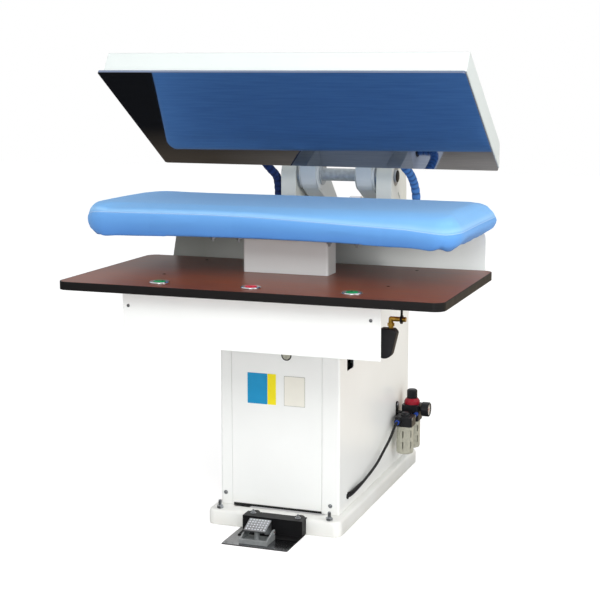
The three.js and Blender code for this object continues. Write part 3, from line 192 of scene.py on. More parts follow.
def speckle(tree, scale, detail=3.0, seed=0.0, stretch=(1, 1, 1)):
    place = add_node(tree, "ShaderNodeTexCoord")
    mapping = add_node(tree, "ShaderNodeMapping", Vector=place.outputs["Object"], Scale=stretch,
                       Location=(seed, seed * 0.7, seed * 0.3))
    grain = add_node(tree, "ShaderNodeTexNoise", Vector=mapping.outputs["Vector"], Scale=scale, Detail=detail)
    return grain.outputs["Fac"]


def ramp(tree, factor, stops):
    node = add_node(tree, "ShaderNodeValToRGB", Fac=factor)
    elements = node.color_ramp.elements
    while len(elements) < len(stops):
        elements.new(0.5)
    for element, (place, colour) in zip(elements, stops):
        element.position = place
        element.color = colour
    return node.outputs["Color"]


def blend_colours(tree, factor, first, second):
    node = add_node(tree, "ShaderNodeMix", {"data_type": "RGBA"})
    for number, value in ((MIX_FACTOR, factor), (MIX_FIRST, first), (MIX_SECOND, second)):
        feed(tree, node.inputs[number], value)
    return node.outputs[MIX_RESULT]


print("a middle grey is", round(shade("808080")[0], 3), "to the shader")

# %% [markdown]
# Every finish of the press is made the same way. The values that are the same all over go straight onto
# the shader's own sockets. Then a first noise makes the tone wander, a second one the gloss, and a
# third one makes a fine relief, as paint, castings and moulded parts all have. A second colour, such as
# dust or shade, can be laid over the finished tone.

# %% What all finishes share
def surface(name, **sockets):
    material = bpy.data.materials.new(name)
    material.use_nodes = True
    shader = material.node_tree.nodes["Principled BSDF"]
    for label, value in sockets.items():
        shader.inputs[label.replace("_", " ")].default_value = value
    return material, material.node_tree, shader


def cover(tree, shader, tone, gloss, height, strength, depth):
    """Links a tone, a roughness and a relief to the shader."""
    bump = add_node(tree, "ShaderNodeBump", Strength=strength, Distance=depth, Height=height)
    feed(tree, shader.inputs["Base Color"], tone)
    feed(tree, shader.inputs["Roughness"], gloss)
    feed(tree, shader.inputs["Normal"], bump.outputs["Normal"])


def finish(name, code, wander, tone_noise, gloss_noise, gloss, relief_noise, relief, stops=(0.3, 0.7),
           **sockets):
    """A finish of one colour. Gloss is a range of roughness, and relief a strength and a depth."""
    colour = shade(code)
    material, tree, shader = surface(name, **sockets)
    worn = dimmed(colour, 1 - wander)
    tone = ramp(tree, speckle(tree, *tone_noise), [(stops[0], worn), (stops[1], colour)])
    rough = spread(tree, speckle(tree, *gloss_noise), *gloss)
    cover(tree, shader, tone, rough, speckle(tree, *relief_noise), *relief)
    return material


def tint(material, factor, colour):
    """Lays a second colour over a finish, as strongly as the factor says."""
    tree = material.node_tree
    shader = tree.nodes["Principled BSDF"]
    plain = shader.inputs["Base Color"].links[0].from_socket
    tree.links.new(blend_colours(tree, factor, plain, colour), shader.inputs["Base Color"])


print("finishes are built from tone, gloss and relief")

# %% [markdown]
# Enamel on folded steel is smooth but never perfect: the colour wanders a little, the gloss changes
# from place to place, and the spray leaves a fine orange peel. Near the floor a trace of dust warms it.
# One function makes all the light enamels, so that they share this character and differ only in colour.
# The guard behind the buck stands half in the buck's shade, so its enamel is darker on the left.

# %% Enamels
DUST_TOP = 0.09
GUARD_SHADED_X = -0.42
GUARD_LIT_X = 0.4


def enamel(name, code, dusty=True):
    material = finish(name, code, 0.05, (3.0, 4.0), (40.0, 3.0, 1.0), (0.24, 0.38), (700.0, 2.0, 2.0),
                      (0.12, 0.00015), Specular_IOR_Level=0.45, Coat_Weight=0.15, Coat_Roughness=0.12)
    if dusty:
        tree = material.node_tree
        near_floor = spread(tree, coordinate(tree, "Z"), 0.0, 1.0, DUST_TOP, 0.0)
        patches = spread(tree, speckle(tree, 14.0, 5.0, 3.0), 0.0, 0.5)
        tint(material, math_node(tree, "MULTIPLY", near_floor, patches), shade("cfc8b6"))
    return material


white_enamel = enamel("white_enamel", "f4f6f4")
cream_enamel = enamel("cream_enamel", "e3e4dc")
grey_enamel = enamel("grey_enamel", "dde2e4", dusty=False)
# The neck's enamel is a lighter copy of the grey enamel: painted light against the shade under the buck.
neck_enamel = enamel("neck_enamel", "e8ecec", dusty=False)
cover_enamel = enamel("cover_enamel", "e4ebe9", dusty=False)
guard_enamel = enamel("guard_enamel", "f1f4f2")
guard_tree = guard_enamel.node_tree
in_shade = spread(guard_tree, coordinate(guard_tree, "X"), 0.0, 1.0, GUARD_LIT_X, GUARD_SHADED_X)
tint(guard_enamel, in_shade, shade("82837e"))
black_enamel = finish("black_enamel", "131315", 0.4, (18.0, 4.0), (30.0, 3.0, 1.0), (0.42, 0.58),
                      (700.0, 2.0, 2.0), (0.15, 0.00015), Specular_IOR_Level=0.22)
print("enamels:", [m.name for m in bpy.data.materials if m.name.endswith("enamel")])

# %% [markdown]
# Bare metals differ mostly in how their surface was worked. Turned, ground and brushed metal has fine
# lines, which a noise stretched along the work gives; a casting has coarse grain; a plated part is
# nearly a mirror with faint smears. Two functions with a few values each cover them all.

# %% Bare metals
def worked_metal(name, code, rough, stretch, scale=60.0, depth=0.00008, wander=0.2):
    lines = (scale, 4.0, 0.0, stretch)
    return finish(name, code, wander, lines, (30.0, 3.0, 4.0), (rough * 0.75, rough * 1.3), lines,
                  (0.25, depth), stops=(0.25, 0.75), Metallic=1.0)


def casting(name, code, rough=0.5, metallic=0.55):
    return finish(name, code, 0.25, (90.0, 6.0), (25.0, 3.0, 5.0), (rough - 0.1, rough + 0.12),
                  (450.0, 4.0, 6.0), (0.45, 0.0004), Metallic=metallic)


plated_steel = worked_metal("plated_steel", "d9dbde", 0.12, (1, 1, 1), 25.0, 0.00003, 0.08)
turned_steel = worked_metal("turned_steel", "c8cbce", 0.24, (40, 1, 1), 30.0)
zinc_steel = worked_metal("zinc_steel", "b4b8bc", 0.34, (1, 1, 1), 220.0, 0.00006, 0.3)
rolled_steel = worked_metal("rolled_steel", "8a8a8d", 0.16, (1, 18, 1), 26.0, 0.00004, 0.25)
pedal_alloy = worked_metal("pedal_alloy", "b9bdc0", 0.33, (30, 2, 2), 18.0, 0.00008, 0.18)
brass_metal = worked_metal("brass_metal", "dcae4e", 0.3, (8, 1, 8), 40.0, 0.00005, 0.3)
satin_steel = casting("satin_steel", "c6ccd1", 0.42, 0.25)
cast_alloy = casting("cast_alloy", "b4b7b9")
cast_iron = casting("cast_iron", "a8acad", 0.48)
bowl_alloy = casting("bowl_alloy", "c3c2b2", 0.4, 0.15)
print("bare metals and castings are ready")

# %% [markdown]
# The pressing plate is polished and waxed, so it is the brightest mirror of the press: the pad shows in
# it. Only faint streaks along its length tell that it is used, and they come from one stretched noise
# that changes the tone and the gloss together.

# %% The plate's polish
mirror_plate, plate_tree, plate_shader = surface("plate_polish", Metallic=1.0)
streaks = speckle(plate_tree, 9.0, 5.0, 8.0, (1, 14, 14))
streak_tone = ramp(plate_tree, streaks, [(0.3, shade("808ca6")), (0.75, shade("8d99b2"))])
cover(plate_tree, plate_shader, streak_tone, spread(plate_tree, streaks, 0.02, 0.07),
      speckle(plate_tree, 5.0, 2.0, 9.0), 0.02, 0.001)
print("the plate's polish has", len(plate_tree.nodes), "nodes")

# %% [markdown]
# Moulded plastic, rubber and lacquered caps are not metals: a plain base colour, a soft gloss, and a
# fine texture from the mould. The labels and the dial are printed films and use the same function.

# %% Plastics, rubber and printed films
def moulded(name, code, rough=0.4, grain=0.15, wander=0.18):
    return finish(name, code, wander, (35.0, 4.0), (60.0, 3.0, 7.0), (rough - 0.07, rough + 0.1),
                  (1200.0, 2.0, 8.0), (grain, 0.0002), Specular_IOR_Level=0.32)


black_plastic = moulded("black_plastic", "1b1c20", 0.36)
grip_plastic = moulded("grip_plastic", "202124", 0.5, 0.4)
black_rubber = moulded("black_rubber", "1c1c1d", 0.55, 0.3)
edge_plastic = moulded("edge_plastic", "120f0f", 0.5)
green_plastic = moulded("green_plastic", "0f8a4f", 0.28, 0.05, 0.08)
red_plastic = moulded("red_plastic", "d01d3a", 0.28, 0.05, 0.08)
ring_red = moulded("ring_red", "a31b2e", 0.35, 0.05, 0.08)
blue_plastic = moulded("blue_plastic", "2348a8", 0.35, 0.05, 0.1)
stud_white = moulded("stud_white", "e9ecf2", 0.4, 0.1, 0.1)
dial_white = moulded("dial_white", "f2f2ee", 0.45, 0.05, 0.03)
dial_ink = moulded("dial_ink", "202022", 0.5, 0.05, 0.1)
label_blue = moulded("label_blue", "1a94c8", 0.35, 0.03, 0.06)
label_yellow = moulded("label_yellow", "f2e21c", 0.35, 0.03, 0.05)
label_pale = moulded("label_pale", "eceadf", 0.4, 0.03, 0.03)
label_line = moulded("label_line", "a5a79e", 0.45, 0.03, 0.05)
print("plastics, rubber and films are ready")

# %% [markdown]
# The table is laminate: a printed reddish wood under clear resin. Long fibres run along the table, and
# broader bands of a darker tone lie over them. Both are noises stretched along the length of the board,
# which is cheaper than painting grain and fits the board without unwrapping it.

# %% Laminate
laminate, board_tree, board_shader = surface("table_laminate", Specular_IOR_Level=0.3)
fibres = speckle(board_tree, 22.0, 8.0, 2.0, (0.35, 9, 9))
bands = speckle(board_tree, 2.2, 3.0, 5.0, (0.5, 3, 3))
wood = ramp(board_tree, fibres, [(0.3, shade("6a301b")), (0.52, shade("8f462b")), (0.75, shade("a85a38"))])
banded = blend_colours(board_tree, spread(board_tree, bands, 0.0, 0.55), wood, shade("562a1f"))
cover(board_tree, board_shader, banded, spread(board_tree, fibres, 0.24, 0.38), fibres, 0.12, 0.0002)
print("the laminate has", len(board_tree.nodes), "nodes")

# %% [markdown]
# A CAD solid has knife-sharp edges, which no real sheet or casting has, and they catch no light. Each
# solid is therefore copied, its loose triangles are welded and merged back into whole faces, and a
# narrow bevel softens every edge. Weighted normals keep the large faces flat to the eye. The copy
# stands for the solid and rides on the same body.

# %% A helper that dresses a solid
WELD = 1e-5
FLAT_ANGLE = 0.8
EDGE_STEPS = 2
SHARP_ANGLE = 32.0


def piece_of(name, mesh, material, body):
    piece = in_scene(name, mesh)
    mesh.materials.clear()
    mesh.materials.append(material)
    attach(piece, body)
    return piece


def welded_copy(node, name, merge_faces):
    mesh = frame["nodes"][node].data.copy()
    mesh.name = name
    bm = bmesh.new()
    bm.from_mesh(mesh)
    bmesh.ops.remove_doubles(bm, verts=bm.verts, dist=WELD)
    if merge_faces:
        bmesh.ops.dissolve_limit(bm, angle_limit=math.radians(FLAT_ANGLE), verts=bm.verts, edges=bm.edges)
    bm.to_mesh(mesh)
    bm.free()
    return mesh


def smooth_all(mesh):
    for face in mesh.polygons:
        face.use_smooth = True


def dress(node, material, edge):
    name = node + "_skin"
    mesh = welded_copy(node, name, merge_faces=True)
    smooth_all(mesh)
    piece = piece_of(name, mesh, material, frame["nodes"][node]["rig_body"])
    bevel = piece.modifiers.new("soft_edge", "BEVEL")
    bevel.width = edge * MM
    bevel.segments = EDGE_STEPS
    bevel.limit_method = "ANGLE"
    bevel.angle_limit = math.radians(SHARP_ANGLE)
    bevel.use_clamp_overlap = False
    bevel.miter_outer = "MITER_ARC"
    flat = piece.modifiers.new("flat_faces", "WEIGHTED_NORMAL")
    flat.keep_sharp = True
    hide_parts(node)


# %% [markdown]
# The large sheet and cast pieces come first. The plinth is a thick welded frame with generous radii;
# cabinet, covers, apron and guard are folded sheet, whose edges are only as round as the sheet is thin;
# posts and levers are heavy plate, flame cut and painted. Each line gives the finish and the width of
# the bevel in millimetres.

# %% Dress the frame, the cabinet and the head
large_parts = {
    "base_plinth": (white_enamel, 2.0),
    "cabinet_shell": (white_enamel, 0.9),
    "front_cover": (white_enamel, 0.8),
    "rear_cover": (white_enamel, 0.5),
    "control_apron": (white_enamel, 0.8),
    "cloth_guard": (guard_enamel, 0.8),
    "head_cover": (cover_enamel, 0.9),
    "neck_shroud": (neck_enamel, 0.6),
    "head_bridge": (grey_enamel, 1.5),
    "pivot_post_left": (cream_enamel, 2.0),
    "pivot_post_right": (cream_enamel, 2.0),
    "lever_left": (grey_enamel, 3.0),
    "lever_right": (grey_enamel, 3.0),
    "cylinder_mount": (grey_enamel, 1.0),
    "pressing_plate": (mirror_plate, 0.8),
    "steam_chest": (cast_alloy, 1.0),
    "buck_tray": (cast_alloy, 1.0),
    "buck_support": (zinc_steel, 1.0),
}
for node, (material, edge) in large_parts.items():
    dress(node, material, edge)
print("dressed", len(large_parts), "large pieces")

# %% [markdown]
# The table with its buttons, the machinery of the head, the air unit, the spray gun and the pedal are
# smaller and of many finishes. Their edges are finer too, down to a bevel of 0.15 mm on the needle of
# the gauge.

# %% Dress the table, the controls and the machinery
small_parts = {
    "worktable": (laminate, 0.6),
    "table_edging": (edge_plastic, 1.0),
    "button_bezel_left": (plated_steel, 0.4),
    "button_bezel_centre": (plated_steel, 0.4),
    "button_bezel_right": (plated_steel, 0.4),
    "button_left": (green_plastic, 0.3),
    "button_centre": (red_plastic, 0.3),
    "button_right": (green_plastic, 0.3),
    "bearing_left": (zinc_steel, 0.8),
    "bearing_right": (zinc_steel, 0.8),
    "pivot_shaft": (satin_steel, 0.8),
    "lever_cross_pin": (turned_steel, 0.8),
    "air_cylinder": (cast_alloy, 0.8),
    "piston_rod": (plated_steel, 0.8),
    "air_valve": (cast_alloy, 0.8),
    "panel_lock": (bowl_alloy, 0.3),
    "levelling_screw_front_left": (zinc_steel, 0.3),
    "levelling_screw_front_right": (zinc_steel, 0.3),
    "levelling_screw_rear_left": (zinc_steel, 0.3),
    "levelling_screw_rear_right": (zinc_steel, 0.3),
    "lubricator_head": (black_plastic, 1.2),
    "regulator_body": (black_plastic, 1.2),
    "lubricator_bowl": (bowl_alloy, 0.4),
    "regulator_bowl": (bowl_alloy, 0.4),
    "lock_ring": (ring_red, 0.6),
    "regulator_knob": (black_plastic, 0.5),
    "pressure_gauge": (black_plastic, 0.5),
    "gauge_needle": (red_plastic, 0.15),
    "air_unit_bracket": (black_enamel, 0.6),
    "gun_holder": (black_enamel, 0.5),
    "gun_pipe": (brass_metal, 0.4),
    "spray_gun": (grip_plastic, 1.0),
    "gun_trigger": (black_plastic, 0.6),
    "pedal_floor_plate": (rolled_steel, 0.5),
    "pedal_guard": (black_enamel, 0.6),
    "pedal_base": (cast_iron, 0.8),
    "pedal_pin": (plated_steel, 0.3),
    "pedal_treadle": (pedal_alloy, 0.8),
}
for node, (material, edge) in small_parts.items():
    dress(node, material, edge)
print("dressed", len(small_parts), "small pieces")

# %% [markdown]
# The buck is the padded ironing surface. On the real press a thick felt and a cotton cover are pulled
# over a cast tray and drawn tight underneath, so the pad is crowned, bulges at its sides, and puckers a
# little at the hem. It could be modelled as a smooth box, but cloth under pressure finds this form by
# itself, so the cloth solver does the work. First the CAD's solid is remeshed to an even skin. The
# pocket that fits round the tray has to keep its shape, so each point gets a share of freedom.

# %% An even skin for the pad
PAD_VOXEL = 8.0
POCKET_ROOF = 12.0
POCKET_WALL = 6.0
POCKET_FADE = 14.0
tray_low, tray_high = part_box("buck_tray")


def evaluated_mesh(piece):
    graph = bpy.context.evaluated_depsgraph_get()
    return bpy.data.meshes.new_from_object(piece.evaluated_get(graph))


def remeshed(node, voxel):
    rough = in_scene("pad_rough", welded_copy(node, "pad_rough", merge_faces=False))
    even = rough.modifiers.new("even_skin", "REMESH")
    even.mode = "VOXEL"
    even.voxel_size = voxel * MM
    result = evaluated_mesh(rough)
    bpy.data.objects.remove(rough)
    return result


def free_share(place):
    """How far a point may move: the outer skin freely, the pocket round the tray not at all."""
    low, high = tray_low, tray_high
    away = max(low.x - place.x, place.x - high.x, low.y - place.y, place.y - high.y) / MM
    if place.z > high.z + POCKET_ROOF * MM:
        return 1.0
    return min(1.0, max(0.0, (away - POCKET_WALL) / POCKET_FADE))


pad_mesh = remeshed("buck_pad", PAD_VOXEL)
pad_rest = [v.co.copy() for v in pad_mesh.vertices]
pad_free = [free_share(p) for p in pad_rest]
pad_normals = [v.normal.copy() for v in pad_mesh.vertices]
print("the pad's skin has", len(pad_mesh.vertices), "points")

# %% [markdown]
# The skin is drawn in by a few millimetres and blown up by the cloth solver, as the felt fills the real
# cover. Pressure alone would swell it far too much, so a later cell keeps the direction of each point's
# way and at most four millimetres of it.

# %% Fill the pad
PAD_DRAWN_IN = 3.5
FILLING_PRESSURE = 4.0
FILLING_STEPS = 20


def blow_up(mesh):
    for vertex, normal, free in zip(mesh.vertices, pad_normals, pad_free):
        vertex.co -= normal * PAD_DRAWN_IN * MM * free
    balloon = in_scene("pad_balloon", mesh)
    held = balloon.vertex_groups.new(name="held")
    for index, free in enumerate(pad_free):
        if free == 0.0:
            held.add([index], 1.0, "REPLACE")
    cloth = balloon.modifiers.new("filling", "CLOTH")
    cloth.settings.use_pressure = True
    cloth.settings.uniform_pressure_force = FILLING_PRESSURE
    cloth.settings.effector_weights.gravity = 0.0
    cloth.settings.quality = 4
    cloth.settings.vertex_group_mass = "held"
    cloth.point_cache.frame_start = 1
    cloth.point_cache.frame_end = FILLING_STEPS
    for step in range(1, FILLING_STEPS + 1):
        bpy.context.scene.frame_set(step)
    moved = [v.co.copy() for v in evaluated_mesh(balloon).vertices]
    bpy.data.objects.remove(balloon)
    bpy.context.scene.frame_set(1)
    return moved


pad_swollen = blow_up(pad_mesh.copy())
print("the filling moved the skin by up to",
      round(max((a - b).length for a, b in zip(pad_swollen, pad_rest)) / MM, 1), "mm")

# %% [markdown]
# Remeshing can't hold the sewn details, so they come next, as small rules of height and of place along
# the buck. The cover on this press is not quite level: the seam where the top meets the sides wanders
# up and down, and the hem hangs lower at both corners. Tables give these offsets along the buck, from
# -1 at its left end to 1 at its right end, and straight lines join their entries.

# %% Where the cover sits
PAD_RIDGE = 957.5
PAD_HEM = 890.0
SEAM_WANDER = ((-1, -3), (-0.9, 8), (-0.66, 10), (-0.25, 11), (0, 8), (0.45, -3), (0.75, -10), (0.93, -22),
               (1, -18))
FRONT_DROP = ((-1, 11), (-0.85, 11), (-0.65, 2.5), (-0.3, 3), (0, 0), (0.7, 2.7), (0.84, 12), (0.97, 18),
              (1, 18))
END_DROP = ((0, 18), (0.2, -2), (0.35, -2), (0.6, 10), (1, 14))
END_STARTS, END_TURN = 0.88, 0.1
FRONT_STARTS, FRONT_TURN = 0.03, 0.2
pad_low, pad_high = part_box("buck_pad")
pad_middle = (pad_low + pad_high) / 2
pad_half = (pad_high.x - pad_low.x) / 2


def from_table(table, value):
    for (a, low), (b, high) in zip(table, table[1:]):
        if value <= b:
            return low + (high - low) * max(0.0, (value - a) / (b - a))
    return table[-1][1]


def eased(share):
    share = min(1.0, max(0.0, share))
    return share * share * (3 - 2 * share)


def along_buck(place):
    return (place.x - pad_middle.x) / pad_half


def hem_drop(place):
    """The front's table, changing to the right end's table round the corner."""
    along = along_buck(place)
    back = (place.y - pad_low.y) / (pad_high.y - pad_low.y)
    front = from_table(FRONT_DROP, along)
    on_end = eased((along - END_STARTS) / END_TURN) * eased((back - FRONT_STARTS) / FRONT_TURN)
    return front + (from_table(END_DROP, back) - front) * on_end


print("the hem hangs", hem_drop(Vector((pad_high.x, pad_low.y, 0))), "mm low at the right corner")

# %% [markdown]
# The rest are shapes of the cloth itself. The seam and three panel seams pinch the skin in, the draw
# cord gathers the hem into soft waves, the ends are fuller at the hem, and the left end's rim stands a
# little higher. All of it stays below the drawing's top, so that the pad clears the closed head.

# %% Sew the pad's seams and hem
PAD_CAP = 4.0
CLOSED_GAP = 0.3
SEAM_DEPTH = 1.6
SEAM_HALF_WIDTH = 6.0
PANEL_SEAMS = (-0.6, -0.15, 0.62)
PANEL_DEPTH_SHARE = 0.8
PANEL_HALF_WIDTH = 9.0
WANDER_REACH = 64.0
HEM_REACH = 46.0
HEM_BELOW = 5.0
HEM_WAVE = 2.0
HEM_GATHER = 2.6
GATHER_SHIFT = Vector((0.03, 0.0, 0.0))
WAVES_ALONG, WAVES_BACK = 24, 31
FOLD_DEPTH = 1.1
FOLD_SCALE = (5, 9, 14)
END_FULLNESS = 11.0
END_NARROWNESS = 6
END_RISE = 6.0
END_RISE_AT = 48.0
END_RISE_FADE = 0.6


def groove(distance, half_width):
    return max(0.0, 1 - (distance / half_width) ** 2)


def seam_pinch(height, along):
    """1 on the seam along the ridge, a little less on a panel seam, and 0 away from both."""
    panels = [groove((along - x) * pad_half / MM, PANEL_HALF_WIDTH) for x in PANEL_SEAMS]
    return max(groove(height - PAD_RIDGE, SEAM_HALF_WIDTH), PANEL_DEPTH_SHARE * max(panels))


def hem_wave(place):
    """Two waves of different length, so that the gathers don't repeat."""
    along = place.x * WAVES_ALONG + place.y * WAVES_BACK
    return 0.6 * math.sin(along) + 0.4 * math.sin(along * 2.3 + 1.1)


def end_rise(rest, along):
    rim = max(0.0, 1 - abs((1 + along) * pad_half / MM / END_RISE_AT - 1))
    behind = max(0.0, (rest.y - pad_middle.y) / (pad_high.y - pad_middle.y))
    return END_RISE * rim * (2 - rim) * max(0.0, 1 - behind / END_RISE_FADE)


def finished_point(rest, swollen, normal, free):
    move = swollen - rest
    if move.length > PAD_CAP * MM:
        move *= PAD_CAP * MM / move.length
    place = rest + move
    height = place.z / MM
    along = along_buck(rest)
    outward = Vector((normal.x, normal.y, 0.0))
    sideways = min(1.0, outward.length * 2)
    near_ridge = max(0.0, 1 - abs(height - PAD_RIDGE) / WANDER_REACH)
    hem = max(0.0, 1 - (height - PAD_HEM) / HEM_REACH) if height > PAD_HEM - HEM_BELOW else 1.0
    place -= normal * seam_pinch(height, along) * sideways * SEAM_DEPTH * MM
    place.z += from_table(SEAM_WANDER, along) * near_ridge * sideways * MM
    place.z += hem * (hem_wave(rest) * HEM_WAVE - hem_drop(rest)) * MM
    place += outward * hem * END_FULLNESS * MM * along ** END_NARROWNESS
    if height > PAD_RIDGE and along < 0:
        place.z += end_rise(rest, along) * MM
    place -= outward * hem * (0.5 + 0.5 * hem_wave(rest + GATHER_SHIFT)) * HEM_GATHER * MM
    place += normal * noise.noise(rest * Vector(FOLD_SCALE)) * FOLD_DEPTH * MM
    place.z = min(place.z, pad_high.z - CLOSED_GAP * MM)
    return rest.lerp(place, free)


for vertex, rest, swollen, normal, free in zip(
        pad_mesh.vertices, pad_rest, pad_swollen, pad_normals, pad_free):
    vertex.co = finished_point(rest, swollen, normal, free)
smooth_all(pad_mesh)
print("seams and hem moved the skin by up to",
      round(max((v.co - p).length for v, p in zip(pad_mesh.vertices, pad_rest)) / MM, 1), "mm")

# %% [markdown]
# Press cloth is a tight plain weave. Two sets of fine waves, one across the other, give the threads;
# because the pad has no unwrapped coordinates, they run in the object's own space, one set along the
# length, the other along the depth and height together, so the weave turns over the edges. A trace of
# sheen softens the edges of the form, and slow noise fades the blue here and there.

# %% Woven cloth
def woven(name, code, faded, thread=0.0011, fuzz=0.06):
    colour = shade(code)
    material, tree, shader = surface(name, Roughness=0.85, Sheen_Weight=fuzz, Sheen_Roughness=0.45,
                                     Sheen_Tint=shade("cbe5ff"), Specular_IOR_Level=0.25)
    depth = math_node(tree, "ADD", coordinate(tree, "Y"), coordinate(tree, "Z"))
    threads = [math_node(tree, "SINE", math_node(tree, "MULTIPLY", source, math.pi / thread))
               for source in (coordinate(tree, "X"), depth)]
    weave = spread(tree, math_node(tree, "MULTIPLY", *threads), 0.0, 1.0)
    slow = ramp(tree, speckle(tree, 4.0, 4.0, 11.0), [(0.3, colour), (0.75, shade(faded))])
    fine = ramp(tree, speckle(tree, 260.0, 3.0, 12.0), [(0.25, dimmed(colour, 0.82)), (0.7, colour)])
    cover(tree, shader, blend_colours(tree, 0.35, slow, fine), None, weave, 0.5, 0.0003)
    return material


press_cloth = woven("press_cloth", "6aa6e6", "7bb3ee", fuzz=0.3)
print("the press cloth has", len(press_cloth.node_tree.nodes), "nodes")

# %% [markdown]
# The cover's tone follows its height as painted light and shade: a painted highlight along the ridge, a
# lighter top, and painted shade that deepens the blue towards the hem. The tone can't follow the height in
# the scene, because the seam wanders, so every point of the mesh stores the height that it had on the
# drawing, and the material reads that attribute.

# %% Put the cover on
HEIGHT_AT_HEM, HEIGHT_AT_TOP = 885, 995
cloth_height = pad_mesh.attributes.new("cloth_height", "FLOAT", "POINT")
cloth_height.data.foreach_set("value", [rest.z / MM for rest in pad_rest])


def stored(tree, name):
    return add_node(tree, "ShaderNodeAttribute", {"attribute_name": name}).outputs["Fac"]


cloth_tree = press_cloth.node_tree
up_the_side = spread(cloth_tree, stored(cloth_tree, "cloth_height"), 0.0, 1.0, HEIGHT_AT_HEM, HEIGHT_AT_TOP)
# Painted light and shade by height: dark at the hem, a painted highlight at the ridge, a lighter top.
painted_light_tones = ramp(cloth_tree, up_the_side, [
    (0.0, shade("2f66bd")), (0.16, shade("4a83cf")), (0.42, shade("5b96d8")), (0.62, shade("659fdd")),
    (0.7, shade("9bcaf2")), (0.78, shade("82c0f8")), (1.0, shade("84c2fa"))])
tint(press_cloth, spread(cloth_tree, speckle(cloth_tree, 9.0, 3.0, 14.0), 0.7, 0.9), painted_light_tones)
pad_piece = piece_of("buck_cover", pad_mesh, press_cloth, "frame")
rounding = pad_piece.modifiers.new("rounding", "SUBSURF")
rounding.levels = 1
rounding.render_levels = 1
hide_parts("buck_pad")
print("the pad has", len(pad_mesh.polygons), "faces before rounding")

# %% [markdown]
# What repeats or follows a path is made with Geometry Nodes. Each tree has named inputs for its sizes,
# and ends by making its copies real and giving them their material. The helper that runs a tree sets
# its inputs, takes the finished mesh off the evaluated object, and welds it.

# %% Helpers for trees that make geometry
WELD_GROWN = 1e-6


def new_tree(name, inputs):
    """Gives back the tree, the outputs that carry its inputs, and the node that ends it."""
    tree = bpy.data.node_groups.new(name, "GeometryNodeTree")
    tree.interface.new_socket("Geometry", in_out="INPUT", socket_type="NodeSocketGeometry")
    tree.interface.new_socket("Geometry", in_out="OUTPUT", socket_type="NodeSocketGeometry")
    for label, kind, value in inputs:
        socket = tree.interface.new_socket(label, in_out="INPUT", socket_type="NodeSocket" + kind)
        if value is not None:
            socket.default_value = value
    return tree, tree.nodes.new("NodeGroupInput").outputs, tree.nodes.new("NodeGroupOutput")


def finish_tree(tree, geometry, given, output):
    real = add_node(tree, "GeometryNodeRealizeInstances", Geometry=geometry)
    coat = add_node(tree, "GeometryNodeSetMaterial", Geometry=real.outputs["Geometry"],
                    Material=given["Material"])
    feed(tree, output.inputs["Geometry"], coat.outputs["Geometry"])
    return tree


def vector(tree, x=0.0, y=0.0, z=0.0):
    return add_node(tree, "ShaderNodeCombineXYZ", X=x, Y=y, Z=z).outputs["Vector"]


def grown(name, source, tree, settings):
    modifier = source.modifiers.new(name, "NODES")
    modifier.node_group = tree
    sockets = {s.name: s.identifier for s in tree.interface.items_tree if s.in_out == "INPUT"}
    for label, value in settings.items():
        modifier[sockets[label]] = value
    mesh = evaluated_mesh(source)
    source.modifiers.remove(modifier)
    bpy.data.objects.remove(source)
    bm = bmesh.new()
    bm.from_mesh(mesh)
    bmesh.ops.remove_doubles(bm, verts=bm.verts, dist=WELD_GROWN)
    bm.to_mesh(mesh)
    bm.free()
    mesh.name = name
    return mesh


print("trees are ready to be grown")

# %% [markdown]
# The two steam hoses leave the cabinet's sides, rise behind the buck and enter the head's rear wall. A woven
# sleeve with sewn rings covers them. One curve is the route, a circle is the section, and a wave in the
# curve's radius makes the rings. The tree also stores how deep in a groove each point lies, for the painted
# shade in the sleeve's grooves. With rings of no height, it makes the plain air line and the pad's piping.

# %% The tree that makes a hose from its route
HOSE_SIDES = 20
RING_ROUNDNESS = 0.4


def hose_tree():
    tree, given, output = new_tree("hose_from_route", [
        ("Radius", "Float", 0.014), ("Ring Height", "Float", 0.0012), ("Ring Pitch", "Float", 0.012),
        ("Step", "Float", 0.0015), ("Material", "Material", None)])
    even = add_node(tree, "GeometryNodeResampleCurve", {"mode": "LENGTH"}, Curve=given["Geometry"],
                    Length=given["Step"])
    along = add_node(tree, "GeometryNodeSplineParameter").outputs["Length"]
    turns = math_node(tree, "DIVIDE", along, given["Ring Pitch"])
    wave = math_node(tree, "SINE", math_node(tree, "MULTIPLY", turns, math.tau))
    crest = math_node(tree, "POWER", math_node(tree, "ABSOLUTE", wave), RING_ROUNDNESS)
    hollow = math_node(tree, "SUBTRACT", 1.0, crest)
    depth = math_node(tree, "MULTIPLY", hollow, given["Ring Height"])
    thick = math_node(tree, "SUBTRACT", given["Radius"], depth)
    noted = add_node(tree, "GeometryNodeStoreNamedAttribute", {"data_type": "FLOAT", "domain": "POINT"},
                     Geometry=even.outputs["Curve"], Name="groove", Value=hollow)
    width = add_node(tree, "GeometryNodeSetCurveRadius", Curve=noted.outputs["Geometry"], Radius=thick)
    radius = add_node(tree, "GeometryNodeInputRadius").outputs["Radius"]
    section = add_node(tree, "GeometryNodeCurvePrimitiveCircle", Resolution=HOSE_SIDES, Radius=1.0)
    sweep = add_node(tree, "GeometryNodeCurveToMesh", Curve=width.outputs["Curve"],
                     Profile_Curve=section.outputs["Curve"], Scale=radius, Fill_Caps=True)
    return finish_tree(tree, sweep.outputs["Mesh"], given, output)


hose_nodes = hose_tree()
print("the hose tree has", len(hose_nodes.nodes), "nodes")

# %% [markdown]
# A route is given by a few points, and a smooth curve has to pass through all of them. The CAD draws
# its hoses with a centripetal Catmull-Rom curve, so the lesson uses the same one, and each sleeve lies
# on its solid.

# %% Routes
ROUTE_STEPS = 14


